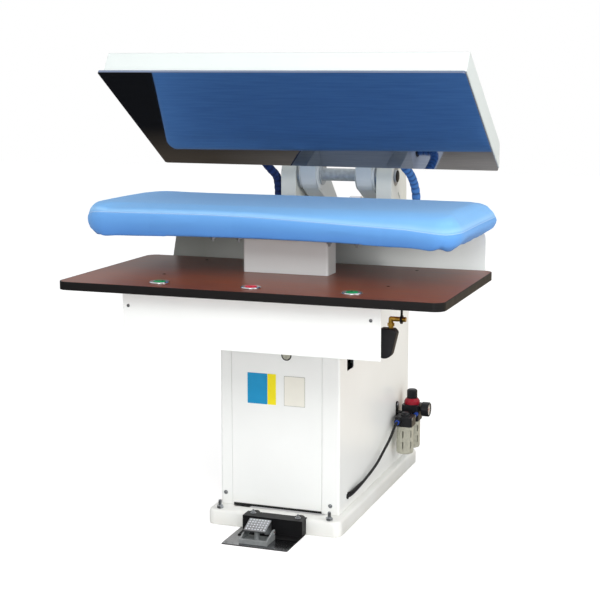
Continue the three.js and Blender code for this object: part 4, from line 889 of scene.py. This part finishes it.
def rounded_route(points):
    points = [Vector(p) for p in points]
    ends = [points[0] * 2 - points[1], *points, points[-1] * 2 - points[-2]]
    route = []
    for i in range(1, len(ends) - 2):
        p0, p1, p2, p3 = ends[i - 1 : i + 3]
        t0 = 0.0
        t1 = t0 + max((p1 - p0).length, 1e-6) ** 0.5
        t2 = t1 + max((p2 - p1).length, 1e-6) ** 0.5
        t3 = t2 + max((p3 - p2).length, 1e-6) ** 0.5
        for k in range(ROUTE_STEPS):
            t = t1 + (t2 - t1) * k / ROUTE_STEPS
            a1 = p0 * ((t1 - t) / (t1 - t0)) + p1 * ((t - t0) / (t1 - t0))
            a2 = p1 * ((t2 - t) / (t2 - t1)) + p2 * ((t - t1) / (t2 - t1))
            a3 = p2 * ((t3 - t) / (t3 - t2)) + p3 * ((t - t2) / (t3 - t2))
            b1 = a1 * ((t2 - t) / (t2 - t0)) + a2 * ((t - t0) / (t2 - t0))
            b2 = a2 * ((t3 - t) / (t3 - t1)) + a3 * ((t - t1) / (t3 - t1))
            route.append(b1 * ((t2 - t) / (t2 - t1)) + b2 * ((t - t1) / (t2 - t1)))
    route.append(points[-1])
    return route


def hose_along(name, route, radius, step, material, ring_height=0.0, ring_pitch=0.01, closed=False):
    curve = bpy.data.curves.new(name + "_route", "CURVE")
    curve.dimensions = "3D"
    spline = curve.splines.new("POLY")
    spline.points.add(len(route) - 1)
    for point, place in zip(spline.points, route):
        point.co = (*place, 1.0)
    spline.use_cyclic_u = closed
    mesh = grown(name, in_scene(name + "_route", curve), hose_nodes, {
        "Radius": radius, "Ring Height": ring_height, "Ring Pitch": ring_pitch, "Step": step,
        "Material": material})
    smooth_all(mesh)
    length = sum((a - b).length for a, b in zip(route, route[1:]))
    print(name, "is", round(length, 3), "m long")
    return mesh


print("a route through two points has", len(rounded_route([(0, 0, 0), (1, 0, 0)])), "steps")


# %% [markdown]
# The steam routes are the CAD's own, in metres. The grooves between the rings are darker: painted shade, from
# the attribute that the tree stored.

# %% Lay the steam sleeves
SLEEVE_RADIUS = 0.0144
SLEEVE_STEP = 0.0015
SLEEVE_RING_HEIGHT = 0.0022
SLEEVE_RING_PITCH = 0.044
SLEEVE_THREAD = 0.0016
steam_routes = {
    "left": [
        (-0.1552, 0.329, 0.69), (-0.1791, 0.329, 0.69), (-0.1914, 0.329, 0.6966), (-0.1968, 0.329, 0.7252),
        (-0.1968, 0.329, 0.8793), (-0.1968, 0.323, 0.9717), (-0.1936, 0.2939, 1.0346),
        (-0.2009, 0.256, 1.0628), (-0.2132, 0.2278, 1.0905), (-0.2182, 0.2039, 1.1191),
        (-0.2177, 0.189, 1.1301), (-0.2177, 0.1801, 1.1301)],
    "right": [
        (0.1998, 0.329, 0.69), (0.2304, 0.329, 0.69), (0.2736, 0.329, 0.6966), (0.2891, 0.329, 0.7296),
        (0.2891, 0.329, 0.8793), (0.2891, 0.323, 0.9831), (0.2859, 0.3096, 1.0201),
        (0.2823, 0.2709, 1.0566), (0.2714, 0.2307, 1.0861), (0.2632, 0.2039, 1.1169),
        (0.2622, 0.189, 1.1301), (0.2622, 0.1801, 1.1301)],
}
sleeve_dark = woven("sleeve_dark", "1d2d5c", "27407a", SLEEVE_THREAD)
sleeve_blue = woven("sleeve_blue", "4379bf", "5388cb", SLEEVE_THREAD)
for side, sleeve, groove_shade in (("left", sleeve_dark, "0c1226"), ("right", sleeve_blue, "101a38")):
    # Painted shade: the grooves between the rings are darkened by their depth.
    tint(sleeve, stored(sleeve.node_tree, "groove"), shade(groove_shade))
    sleeve_mesh = hose_along("steam_sleeve_" + side, rounded_route(steam_routes[side]), SLEEVE_RADIUS,
                             SLEEVE_STEP, sleeve, SLEEVE_RING_HEIGHT, SLEEVE_RING_PITCH)
    sleeve_piece = in_scene("steam_sleeve_" + side, sleeve_mesh)
    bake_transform(sleeve_piece)
    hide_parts("steam_hose_" + side)

# %% [markdown]
# The air line is plain black tube. It sags from the air unit to a grommet low in the cabinet's wall,
# and a thinner strand runs just above it for the last stretch. Both stay on the frame, so they simply
# ride.

# %% Lay the air line
air_routes = {
    "air_line": (0.0045, 0.004, [
        (0.2442, 0.2837, 0.213), (0.2442, 0.272, 0.213), (0.2387, 0.2137, 0.1721), (0.2349, 0.1577, 0.1473),
        (0.2327, 0.0924, 0.1243), (0.2305, 0.0223, 0.1101), (0.2288, -0.043, 0.1014),
        (0.2272, -0.1177, 0.094), (0.2239, -0.169, 0.0902), (0.2189, -0.183, 0.089),
        (0.2092, -0.183, 0.089)]),
    "air_branch": (0.0034, 0.003, [
        (0.2288, -0.043, 0.1022), (0.2285, -0.078, 0.1024), (0.2275, -0.1177, 0.1018),
        (0.2245, -0.162, 0.0992), (0.2189, -0.178, 0.0978), (0.2085, -0.179, 0.0975)]),
}
for name, (radius, step, points) in air_routes.items():
    air_mesh = hose_along(name, rounded_route(points), radius, step, black_rubber)
    air_piece = piece_of(name, air_mesh, black_rubber, "frame")
    if name == "air_line":
        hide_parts("air_hose")

# %% [markdown]
# A thin piping is sewn into the seam that runs round the buck where its top meets its sides. It could
# be drawn by hand, but the CAD's pad has a ring of points at that height already. They are put in order
# round the pad's middle, moved with the seam, and laid on the nearest place of the finished cloth.

# %% Sew in the piping
PIPING_RADIUS = 0.0015
PIPING_STEP = 0.006
RIDGE_TOLERANCE = 0.3
RIM_SHARE = 0.9
RIM_DEPTH = 0.2


def round_the_pad(place):
    return math.atan2((place.y - pad_middle.y) / (pad_high.y - pad_low.y),
                      (place.x - pad_middle.x) / (pad_high.x - pad_low.x))


seam_ring = {tuple(round(c, 5) for c in v.co) for v in frame["nodes"]["buck_pad"].data.vertices
             if abs(v.co.z / MM - PAD_RIDGE) < RIDGE_TOLERANCE}
seam_ring = [Vector(p) for p in seam_ring if abs(p[0] - pad_middle.x) > pad_half * RIM_SHARE
             or abs(p[1] - pad_middle.y) > RIM_DEPTH]
seam_ring.sort(key=round_the_pad)
seam_ring = [p + Vector((0, 0, from_table(SEAM_WANDER, along_buck(p)) * MM)) for p in seam_ring]
skin = BVHTree.FromPolygons([v.co for v in pad_mesh.vertices], [f.vertices for f in pad_mesh.polygons])
# The piping's pale blue is a painted highlight along the seam where top and sides meet.
piping_highlight_cloth = woven("piping_highlight_cloth", "9cc4ee", "a9cff4")
piping_mesh = hose_along("buck_piping", [skin.find_nearest(p)[0] for p in seam_ring], PIPING_RADIUS,
                         PIPING_STEP, piping_highlight_cloth, closed=True)
piece_of("buck_piping", piping_mesh, piping_highlight_cloth, "frame")
print("the piping follows", len(seam_ring), "points")

# %% [markdown]
# Screws repeat all over a machine, so one tree makes them: a washer, a domed head and a cross recess
# are built once and placed on every point of a small mesh. Each point carries the direction in which
# its screw faces, and the tree turns the head to it.

# %% The tree that sets screws
WASHER_WIDTH = 1.55
WASHER_HEIGHT = 0.3
RECESS_LENGTH = 1.2
RECESS_WIDTH = 0.24


def raised(tree, mesh, height):
    return add_node(tree, "GeometryNodeTransform", Geometry=mesh,
                    Translation=vector(tree, z=height)).outputs["Geometry"]


def screw_head(tree, radius, height):
    """A dome with a cross cut into it."""
    dome = add_node(tree, "GeometryNodeMeshUVSphere", Segments=18, Rings=10, Radius=radius)
    flattened = add_node(tree, "GeometryNodeTransform", Geometry=dome.outputs["Mesh"],
                         Scale=vector(tree, 1.0, 1.0, math_node(tree, "DIVIDE", height, radius)))
    carve = add_node(tree, "GeometryNodeMeshBoolean", {"operation": "DIFFERENCE"},
                     Mesh_1=flattened.outputs["Geometry"])
    arm = math_node(tree, "MULTIPLY", radius, RECESS_LENGTH)
    bite = math_node(tree, "MULTIPLY", radius, RECESS_WIDTH)
    for size in ((arm, bite, height), (bite, arm, height)):
        bar = add_node(tree, "GeometryNodeMeshCube", Size=vector(tree, *size))
        feed(tree, carve.inputs["Mesh 2"], raised(tree, bar.outputs["Mesh"], height))
    return carve.outputs["Mesh"]


def screw_tree():
    tree, given, output = new_tree("screw_set", [
        ("Head Radius", "Float", 0.005), ("Head Height", "Float", 0.0028), ("Material", "Material", None)])
    radius, height = given["Head Radius"], given["Head Height"]
    washer_high = math_node(tree, "MULTIPLY", height, WASHER_HEIGHT)
    disc = add_node(tree, "GeometryNodeMeshCylinder", Vertices=18, Depth=washer_high,
                    Radius=math_node(tree, "MULTIPLY", radius, WASHER_WIDTH))
    washer = raised(tree, disc.outputs["Mesh"], math_node(tree, "MULTIPLY", washer_high, 0.5))
    whole = add_node(tree, "GeometryNodeJoinGeometry", Geometry=washer)
    feed(tree, whole.inputs["Geometry"], screw_head(tree, radius, height))
    facing = add_node(tree, "GeometryNodeInputNamedAttribute", {"data_type": "FLOAT_VECTOR"}, Name="facing")
    turn = add_node(tree, "FunctionNodeAlignRotationToVector", Vector=facing.outputs["Attribute"])
    each = add_node(tree, "GeometryNodeInstanceOnPoints", Points=given["Geometry"],
                    Instance=whole.outputs["Geometry"], Rotation=turn.outputs["Rotation"])
    return finish_tree(tree, each.outputs["Instances"], given, output)


screw_nodes = screw_tree()
print("the screw tree has", len(screw_nodes.nodes), "nodes")

# %% [markdown]
# The screws stand where sheet meets sheet: at the corners of the covers, at the ends of the apron, in
# the table, along the guard's foot and on the air unit's bracket. A name, a finish, two sizes, a
# direction and the places on the drawing are all that a set needs.

# %% Set the screws
FRONT, BACK, RIGHT, UP, DOWN = (0, -1, 0), (0, 1, 0), (1, 0, 0), (0, 0, 1), (0, 0, -1)
screw_metal = {"zinc_steel": zinc_steel, "black_paint": black_enamel}
screw_sets = {
    "air_unit_screws": ("zinc_steel", 3.4, 2.0, RIGHT, [(268.2, 676, 222), (268.2, 634, 222)]),
    "cabinet_screws": ("zinc_steel", 4.2, 2.6, FRONT, [
        (-179, 63, 87), (166, 63, 78), (-179, 63, 700), (166, 63, 700)]),
    "apron_screws": ("zinc_steel", 3.2, 2.2, FRONT, [(-378, -192, 711), (367, -192, 711)]),
    "table_screws": ("black_paint", 3.6, 1.2, UP, [
        (-347, -8, 780.3), (364, -10, 780.3), (359, 326, 780.3), (-350, 326, 780.3)]),
    "rear_cover_screws": ("zinc_steel", 3.2, 2.2, BACK, [
        (x, 851.3, z) for z in (100, 694, 400) for x in (-168, 168)]),
    "guard_screws": ("zinc_steel", 3.2, 2.2, UP, [(x, 545, 758.3) for x in (-150, -60, 60, 150)]),
    "bracket_screw": ("zinc_steel", 7.0, 4.0, RIGHT, [(198.8, 698.5, 253)]),
}


def points_object(name, places, direction):
    mesh = bpy.data.meshes.new(name)
    mesh.from_pydata([tuple(p) for p in places], [], [])
    facing = mesh.attributes.new("facing", "FLOAT_VECTOR", "POINT")
    for item in facing.data:
        item.vector = direction
    return in_scene(name, mesh)


for name, (slot, radius, height, facing, places) in screw_sets.items():
    screws = grown(name, points_object(name, [spot(*p) for p in places], facing), screw_nodes, {
        "Head Radius": radius * MM, "Head Height": height * MM, "Material": screw_metal[slot]})
    piece_of(name, screws, screw_metal[slot], "frame")
    print(name, len(places))

# %% [markdown]
# Turned details, such as nuts, collets and clamps, are profiles spun about an axis. A Screw modifier
# could spin them, but the helper writes each ring of points itself, closes the poles, and turns the
# result to its axis, so the mesh is surely closed and faces outwards.

# %% A helper for turned details
WELD_TURNED = 1e-7


def collar(radius, bore, length, lip=0.8):
    """Profile of a ring with softened rims, closed on itself through its bore."""
    return [(bore, 0), (radius - lip, 0), (radius, lip), (radius, length - lip), (radius - lip, length),
            (bore, length), (bore, 0)]


def add_turned(bm, profile, origin, axis, sides):
    """profile: (radius, height) pairs in mm, from the bottom pole to the top one, in order."""
    turn = Vector((0, 0, 1)).rotation_difference(Vector(axis)).to_matrix().to_4x4()
    place = Matrix.Translation(origin) @ turn
    rings = []
    for radius, height in profile:
        corners = [Vector((radius * MM * math.cos(math.tau * k / sides),
                           radius * MM * math.sin(math.tau * k / sides), height * MM))
                   for k in range(sides if radius else 1)]
        rings.append([bm.verts.new(place @ corner) for corner in corners])
    for low, high in zip(rings, rings[1:]):
        for k in range(sides):
            nxt = (k + 1) % sides
            corners = [low[k % len(low)], low[nxt % len(low)], high[nxt % len(high)], high[k % len(high)]]
            unique = list(dict.fromkeys(corners))
            if len(unique) > 2:
                bm.faces.new(unique)


def turned_piece(name, parts, material, body):
    """Each part is a profile, a place, an axis and a number of sides."""
    bm = bmesh.new()
    for part in parts:
        add_turned(bm, *part)
    bmesh.ops.remove_doubles(bm, verts=bm.verts, dist=WELD_TURNED)
    bmesh.ops.recalc_face_normals(bm, faces=bm.faces)
    for edge in bm.edges:
        edge.smooth = edge.calc_face_angle(0.0) < math.radians(SHARP_ANGLE)
    for face in bm.faces:
        face.smooth = True
    mesh = bpy.data.meshes.new(name)
    bm.to_mesh(mesh)
    bm.free()
    print(name, "has", len(parts), "turned parts")
    piece_of(name, mesh, material, body)


print("a collar's profile has", len(collar(20, 14, 5)), "corners")


# %% [markdown]
# Small fittings finish the hoses: clamps where the sleeves enter the head and grommets where they leave
# the cabinet, a rubber grommet round the air line at the wall, and the blue release collets of push-in
# fittings on the air unit.

# %% Hose fittings
WALL_X = 194.5
HEAD_ENTRIES = (-0.2177, 0.2622)
turned_piece("steam_grommets", [
    (collar(20, 14.3, 5), spot(sign * WALL_X, 656, 690), (sign, 0, 0), 32) for sign in (-1, 1)],
    black_rubber, "frame")
turned_piece("steam_flanges", [
    (collar(18.5, 14.4, 9), Vector((x, 0.1812, 1.1301)), BACK, 32) for x in HEAD_ENTRIES],
    turned_steel, "head")
turned_piece("air_grommet", [(collar(9, 4.6, 3.5, 0.6), spot(WALL_X, 144, 89), RIGHT, 32)],
             black_rubber, "frame")
turned_piece("push_in_collets", [
    (collar(8.4, 4.7, 5), Vector((0.2442, 0.2836, 0.213)), FRONT, 32),
    ([(0, 0), (7, 0), (7, 12), (6, 13), (0, 13)], spot(262, 712, 222), FRONT, 32)],
    blue_plastic, "frame")

# %% [markdown]
# Below the buck hang the studs and nuts that clamp the tray to its column. The shaft's ends have black
# caps, the door's lock has a thin gasket, and two bolts hold the pedal's guard to its plate.

# %% Studs, caps and bolts
STUD = [(0, 0), (4, 0), (4, 26), (3, 27), (0, 27)]
SHAFT_CAP = [(0, 0), (20, 0), (20, 1.4), (18.6, 2.2), (0, 2.2)]
GUARD_BOLT = [(0, 0), (5.6, 0), (5.6, 3.4), (4.8, 4.2), (3, 4.2), (3, 10), (2.4, 10.6), (0, 10.6)]
tray_studs, guard_bolts = [], []
for x in (-235, -148, 144, 231):
    tray_studs.append((STUD, spot(x, 110, 899), DOWN, 16))
    tray_studs.append((collar(8, 4.1, 7), spot(x, 110, 886), DOWN, 6))
for x, y in ((-59.5, -6), (86.5, -8)):
    guard_bolts.append((collar(9, 3.9, 1.4, 0.4), spot(x, y, 53.4), UP, 32))
    guard_bolts.append((GUARD_BOLT, spot(x, y, 54.8), UP, 12))
turned_piece("tray_studs", tray_studs, zinc_steel, "frame")
turned_piece("shaft_end_caps", [
    (SHAFT_CAP, spot(sign * 198.8, 660, 1044), (sign, 0, 0), 32) for sign in (-1, 1)],
    black_enamel, "head")
turned_piece("lock_gasket", [(collar(16.5, 12.2, 1.6, 0.5), spot(24, 63.2, 539), FRONT, 32)],
             black_rubber, "frame")
turned_piece("pedal_guard_bolts", guard_bolts, zinc_steel, "frame")

# %% [markdown]
# The gauge's dial is a white disc with a scale of marks round three quarters of a turn and a clear lens
# over it. Every fifth mark is long and the others are short. A second tree sets them: the number of
# each mark gives its angle, its place on the circle and its length.

# %% The tree that sets the dial's marks
LONG_MARK_EVERY = 5.0
SHORT_MARK_SHARE = 0.5
MARK_THICKNESS = 0.0003


def scale_tree():
    tree, given, output = new_tree("dial_scale", [
        ("Marks", "Int", 31), ("Radius", "Float", 0.0185), ("Length", "Float", 0.003),
        ("Width", "Float", 0.0006), ("Sweep", "Float", math.radians(270)), ("Material", "Material", None)])
    points = add_node(tree, "GeometryNodePoints", Count=given["Marks"])
    number = add_node(tree, "GeometryNodeInputIndex").outputs["Index"]
    share = math_node(tree, "DIVIDE", number, math_node(tree, "SUBTRACT", given["Marks"], 1.0))
    angle = math_node(tree, "SUBTRACT", math_node(tree, "MULTIPLY", share, given["Sweep"]),
                      math_node(tree, "MULTIPLY", given["Sweep"], 0.5))
    across = math_node(tree, "MULTIPLY", math_node(tree, "SINE", angle), given["Radius"])
    upward = math_node(tree, "MULTIPLY", math_node(tree, "COSINE", angle), given["Radius"])
    put = add_node(tree, "GeometryNodeSetPosition", Geometry=points.outputs["Points"],
                   Position=vector(tree, across, upward))
    bar = add_node(tree, "GeometryNodeMeshCube",
                   Size=vector(tree, given["Width"], given["Length"], MARK_THICKNESS))
    turn = add_node(tree, "FunctionNodeEulerToRotation",
                    Euler=vector(tree, z=math_node(tree, "MULTIPLY", angle, -1.0)))
    after_long = math_node(tree, "MODULO", number, LONG_MARK_EVERY)
    shorter = math_node(tree, "MULTIPLY", math_node(tree, "GREATER_THAN", after_long, 0.5), SHORT_MARK_SHARE)
    each = add_node(tree, "GeometryNodeInstanceOnPoints", Points=put.outputs["Geometry"],
                    Instance=bar.outputs["Mesh"], Rotation=turn.outputs["Rotation"],
                    Scale=vector(tree, 1.0, math_node(tree, "SUBTRACT", 1.0, shorter), 1.0))
    return finish_tree(tree, each.outputs["Instances"], given, output)


scale_nodes = scale_tree()
print("the dial's tree has", len(scale_nodes.nodes), "nodes")

# %% [markdown]
# The disc, the marks and the lens are set one behind the other in front of the gauge's body, which
# faces right. The lens is glass that also lets some of the view straight through, so that the marks
# stay clear at a small size.

# %% Put the dial together
GAUGE_FACE = 301.3
GAUGE_MIDDLE = (742, 234)
MARKS_ABOVE_DISC = 0.0004
DISC = [(0, 0), (20.6, 0), (20.6, 0.3), (0, 0.3)]
LENS = [(0, 0), (20.8, 0), (20.8, 1.0), (12, 1.5), (0, 1.7)]
lens_glass, lens_tree, lens_shader = surface("lens_glass", Transmission_Weight=1.0, IOR=1.45, Alpha=0.35,
                                             Base_Color=(0.96, 0.98, 1.0, 1.0))
feed(lens_tree, lens_shader.inputs["Roughness"], spread(lens_tree, speckle(lens_tree, 60.0, 2.0), 0.02, 0.06))
dial_at = spot(GAUGE_FACE - 5.9, *GAUGE_MIDDLE)
turned_piece("dial_disc", [(DISC, dial_at, RIGHT, 48)], dial_white, "frame")
scale_mesh = grown("dial_scale", points_object("dial_scale_points", [(0, 0, 0)], UP), scale_nodes, {
    "Marks": 31, "Radius": 0.0175, "Length": 0.0034, "Width": 0.0006, "Sweep": math.radians(270),
    "Material": dial_ink})
upright = Matrix(((0, 0, 1), (1, 0, 0), (0, 1, 0))).to_4x4()
scale_mesh.transform(Matrix.Translation(dial_at + Vector((MARKS_ABOVE_DISC, 0, 0))) @ upright)
piece_of("dial_scale", scale_mesh, dial_ink, "frame")
turned_piece("dial_lens", [(LENS, spot(GAUGE_FACE - 2.2, *GAUGE_MIDDLE), RIGHT, 48)], lens_glass, "frame")
print("the dial has", len(scale_mesh.polygons), "faces in its marks")

# %% [markdown]
# The treadle is a cast foot plate: rows of small square studs give the foot some grip. One tree lays
# a grid of points on the slope and sets a stud with a narrowed top on each. The finished studs are then
# tilted to the treadle's slope, and they ride on the treadle.

# %% Treadle studs
STUD_TOP_SHARE = 0.7
TREAD_SLOPE = math.atan2(63 - 43, -82 + 134)
TREAD_LIFT = 0.0005


def stud_tree():
    tree, given, output = new_tree("tread_studs", [
        ("Columns", "Int", 7), ("Rows", "Int", 5), ("Width", "Float", 0.056), ("Depth", "Float", 0.04),
        ("Stud", "Float", 0.003), ("Height", "Float", 0.0012), ("Material", "Material", None)])
    grid = add_node(tree, "GeometryNodeMeshGrid", Vertices_X=given["Columns"], Vertices_Y=given["Rows"],
                    Size_X=given["Width"], Size_Y=given["Depth"])
    stud = add_node(tree, "GeometryNodeMeshCone", Vertices=4, Radius_Bottom=given["Stud"],
                    Radius_Top=math_node(tree, "MULTIPLY", given["Stud"], STUD_TOP_SHARE),
                    Depth=given["Height"])
    turn = add_node(tree, "GeometryNodeTransform", Geometry=stud.outputs["Mesh"],
                    Rotation=(0, 0, math.radians(45)))
    each = add_node(tree, "GeometryNodeInstanceOnPoints", Points=grid.outputs["Mesh"],
                    Instance=turn.outputs["Geometry"])
    return finish_tree(tree, each.outputs["Instances"], given, output)


stud_mesh = grown("tread_studs", points_object("tread_points", [(0, 0, 0)], UP), stud_tree(), {
    "Columns": 7, "Rows": 5, "Width": 0.056, "Depth": 0.043, "Stud": 0.0034, "Height": 0.0014,
    "Material": stud_white})
tread_middle = spot(-6, -108, 53) + Vector((0, -math.sin(TREAD_SLOPE), math.cos(TREAD_SLOPE))) * TREAD_LIFT
stud_mesh.transform(Matrix.Translation(tread_middle) @ Matrix.Rotation(TREAD_SLOPE, 4, "X"))
piece_of("tread_studs", stud_mesh, stud_white, "treadle")
print("tread studs:", len(stud_mesh.polygons), "faces")

# %% [markdown]
# The front cover carries thin labels, which are left blank: a blue field with a yellow strip beside it, and a
# pale plate with a fine frame. Each is a film with rounded corners that stands a few tenths of a millimetre
# off the sheet, so that it catches its own edge of light. The black strip between the cover and the plinth is
# a film of the same kind: painted shade in the gap under the door, not a seal.

# %% Blank labels and the painted shade under the door
COVER_Y = 63.0
CORNER_STEPS = 5


def film(name, x0, x1, z0, z1, y, thick, radius, material):
    outline = []
    for cx, cz, start in ((x1 - radius, z0 + radius, -90), (x1 - radius, z1 - radius, 0),
                          (x0 + radius, z1 - radius, 90), (x0 + radius, z0 + radius, 180)):
        for k in range(CORNER_STEPS):
            angle = math.radians(start + k * 90 / (CORNER_STEPS - 1))
            outline.append((cx + radius * math.cos(angle), cz + radius * math.sin(angle)))
    bm = bmesh.new()
    front = [bm.verts.new(spot(x, y - thick, z)) for x, z in outline]
    back = [bm.verts.new(spot(x, y, z)) for x, z in outline]
    bm.faces.new(front)
    bm.faces.new(list(reversed(back)))
    n = len(outline)
    for i in range(n):
        bm.faces.new((back[i], back[(i + 1) % n], front[(i + 1) % n], front[i]))
    bmesh.ops.recalc_face_normals(bm, faces=bm.faces)
    mesh = bpy.data.meshes.new(name)
    bm.to_mesh(mesh)
    bm.free()
    piece_of(name, mesh, material, "frame")


# Painted shade: a black strip where the gap under the door lies in shadow.
film("painted_door_gap_shade", -152.0, 138.0, 50.4, 57.6, COVER_Y, 0.6, 0.8, black_rubber)
film("blue_label", -103.9, -38.6, 381.0, 477.5, COVER_Y, 0.4, 1.5, label_blue)
film("yellow_label", -38.2, -10.4, 381.0, 477.5, COVER_Y, 0.4, 1.5, label_yellow)
film("pale_label", 15.9, 83.9, 381.0, 474.5, COVER_Y, 0.4, 2.0, label_line)
film("pale_label_field", 17.2, 82.6, 382.3, 473.2, COVER_Y - 0.4, 0.2, 1.6, label_pale)
print("a painted gap shade and three blank labels")

# %% [markdown]
# The floor is pale and matt. To the camera, and through glass, it adds a little light of its own, so
# that the ground looks white without throwing more light on the press. In mirrors it is the darker,
# warmer floor of a studio, which the pressing plate shows in the photograph: paler to the right and
# dark behind the press.

# %% Floor
FLOOR_HALF = 14
FLOOR_Z = -0.0005
FLOOR_GLOW = 0.42
SIDE_RANGE = (-0.9, 0.3)
BEHIND_RANGE = (0.62, 0.76)


def floor_paint():
    material, tree, shader = surface("floor_paint", Roughness=0.9, Specular_IOR_Level=0.1,
                                     Emission_Color=(1, 1, 1, 1))
    pale = ramp(tree, speckle(tree, 0.8, 2.0), [(0.3, shade("f2f2f2")), (0.7, shade("f6f6f6"))])
    seen = add_node(tree, "ShaderNodeLightPath").outputs
    direct = math_node(tree, "MAXIMUM", seen["Is Camera Ray"], seen["Is Transmission Ray"])
    feed(tree, shader.inputs["Emission Strength"], math_node(tree, "MULTIPLY", direct, FLOOR_GLOW))
    to_the_right = spread(tree, coordinate(tree, "X"), 0.0, 1.0, *SIDE_RANGE)
    behind = spread(tree, coordinate(tree, "Y"), 0.0, 1.0, *BEHIND_RANGE)
    warm = blend_colours(tree, to_the_right, shade("7d6b53"), shade("f2dfc2"))
    studio = blend_colours(tree, behind, shade("2a2825"), warm)
    feed(tree, shader.inputs["Base Color"], blend_colours(tree, seen["Is Glossy Ray"], pale, studio))
    return material


floor_corners = [(x * FLOOR_HALF, y * FLOOR_HALF, FLOOR_Z)
                 for x, y in ((-1, -1), (1, -1), (1, 1), (-1, 1))]
floor_mesh = bpy.data.meshes.new("floor")
floor_mesh.from_pydata(floor_corners, [], [(0, 1, 2, 3)])
floor_mesh.materials.append(floor_paint())
floor = in_scene("floor", floor_mesh)
print("the floor is", 2 * FLOOR_HALF, "m wide")

# %% [markdown]
# The world lights the press evenly from all sides. To the camera, and through glass, it is plain white.
# Mirrors see it grey near the horizon and white higher up, as they would a studio's walls and ceiling.

# %% World
EVEN_LIGHT = 0.68
HORIZON_TONE = 0.35
HORIZON_RANGE = (0.1, 0.45)
world = bpy.data.worlds.new("studio")
bpy.context.scene.world = world
world.use_nodes = True
sky = world.node_tree
backdrop = sky.nodes["Background"]
path = add_node(sky, "ShaderNodeLightPath").outputs
for_eyes = math_node(sky, "MAXIMUM", path["Is Camera Ray"], path["Is Transmission Ray"])
mirrored_sky = spread(sky, coordinate(sky, "Z", "Generated"), HORIZON_TONE, 1.0, *HORIZON_RANGE)
for_mirrors = math_node(sky, "MULTIPLY", path["Is Glossy Ray"], mirrored_sky)
plain_light = math_node(sky, "SUBTRACT", 1.0, math_node(sky, "MAXIMUM", for_eyes, path["Is Glossy Ray"]))
for_rest = math_node(sky, "MULTIPLY", plain_light, EVEN_LIGHT)
strength = math_node(sky, "MAXIMUM", math_node(sky, "MAXIMUM", for_mirrors, for_eyes), for_rest)
feed(sky, backdrop.inputs["Color"], (1.0, 1.0, 1.0, 1.0))
feed(sky, backdrop.inputs["Strength"], strength)
print("the world's tree has", len(sky.nodes), "nodes")

# %% [markdown]
# Three large soft lamps model the form: two in front, one high and one low, and a warmer one from the
# right. They are weak, so that white enamel keeps its tone and doesn't clip. Their panels are hidden
# from the camera, because a view from another side would show them.

# %% Lamps
def soft_light(name, place, target, size, power, colour):
    data = bpy.data.lights.new(name, "AREA")
    data.shape = "RECTANGLE"
    data.size, data.size_y = size
    data.energy = power
    data.color = colour
    lamp = in_scene(name, data)
    lamp.location = place
    lamp.rotation_euler = (Vector(target) - Vector(place)).to_track_quat("-Z", "Y").to_euler()
    lamp.visible_camera = False


soft_light("front_window", (1.1, -3.5, 3.3), (0, 0, 0.8), (2.4, 1.8), 67, (0.98, 0.99, 1.0))
soft_light("front_low", (1.0, -4.2, 1.0), (0, 0, 0.6), (2.0, 1.4), 27, (0.99, 0.99, 1.0))
soft_light("right_fill", (3.2, -1.1, 1.7), (0, 0, 0.6), (2.0, 1.6), 34, (1.0, 0.98, 0.95))
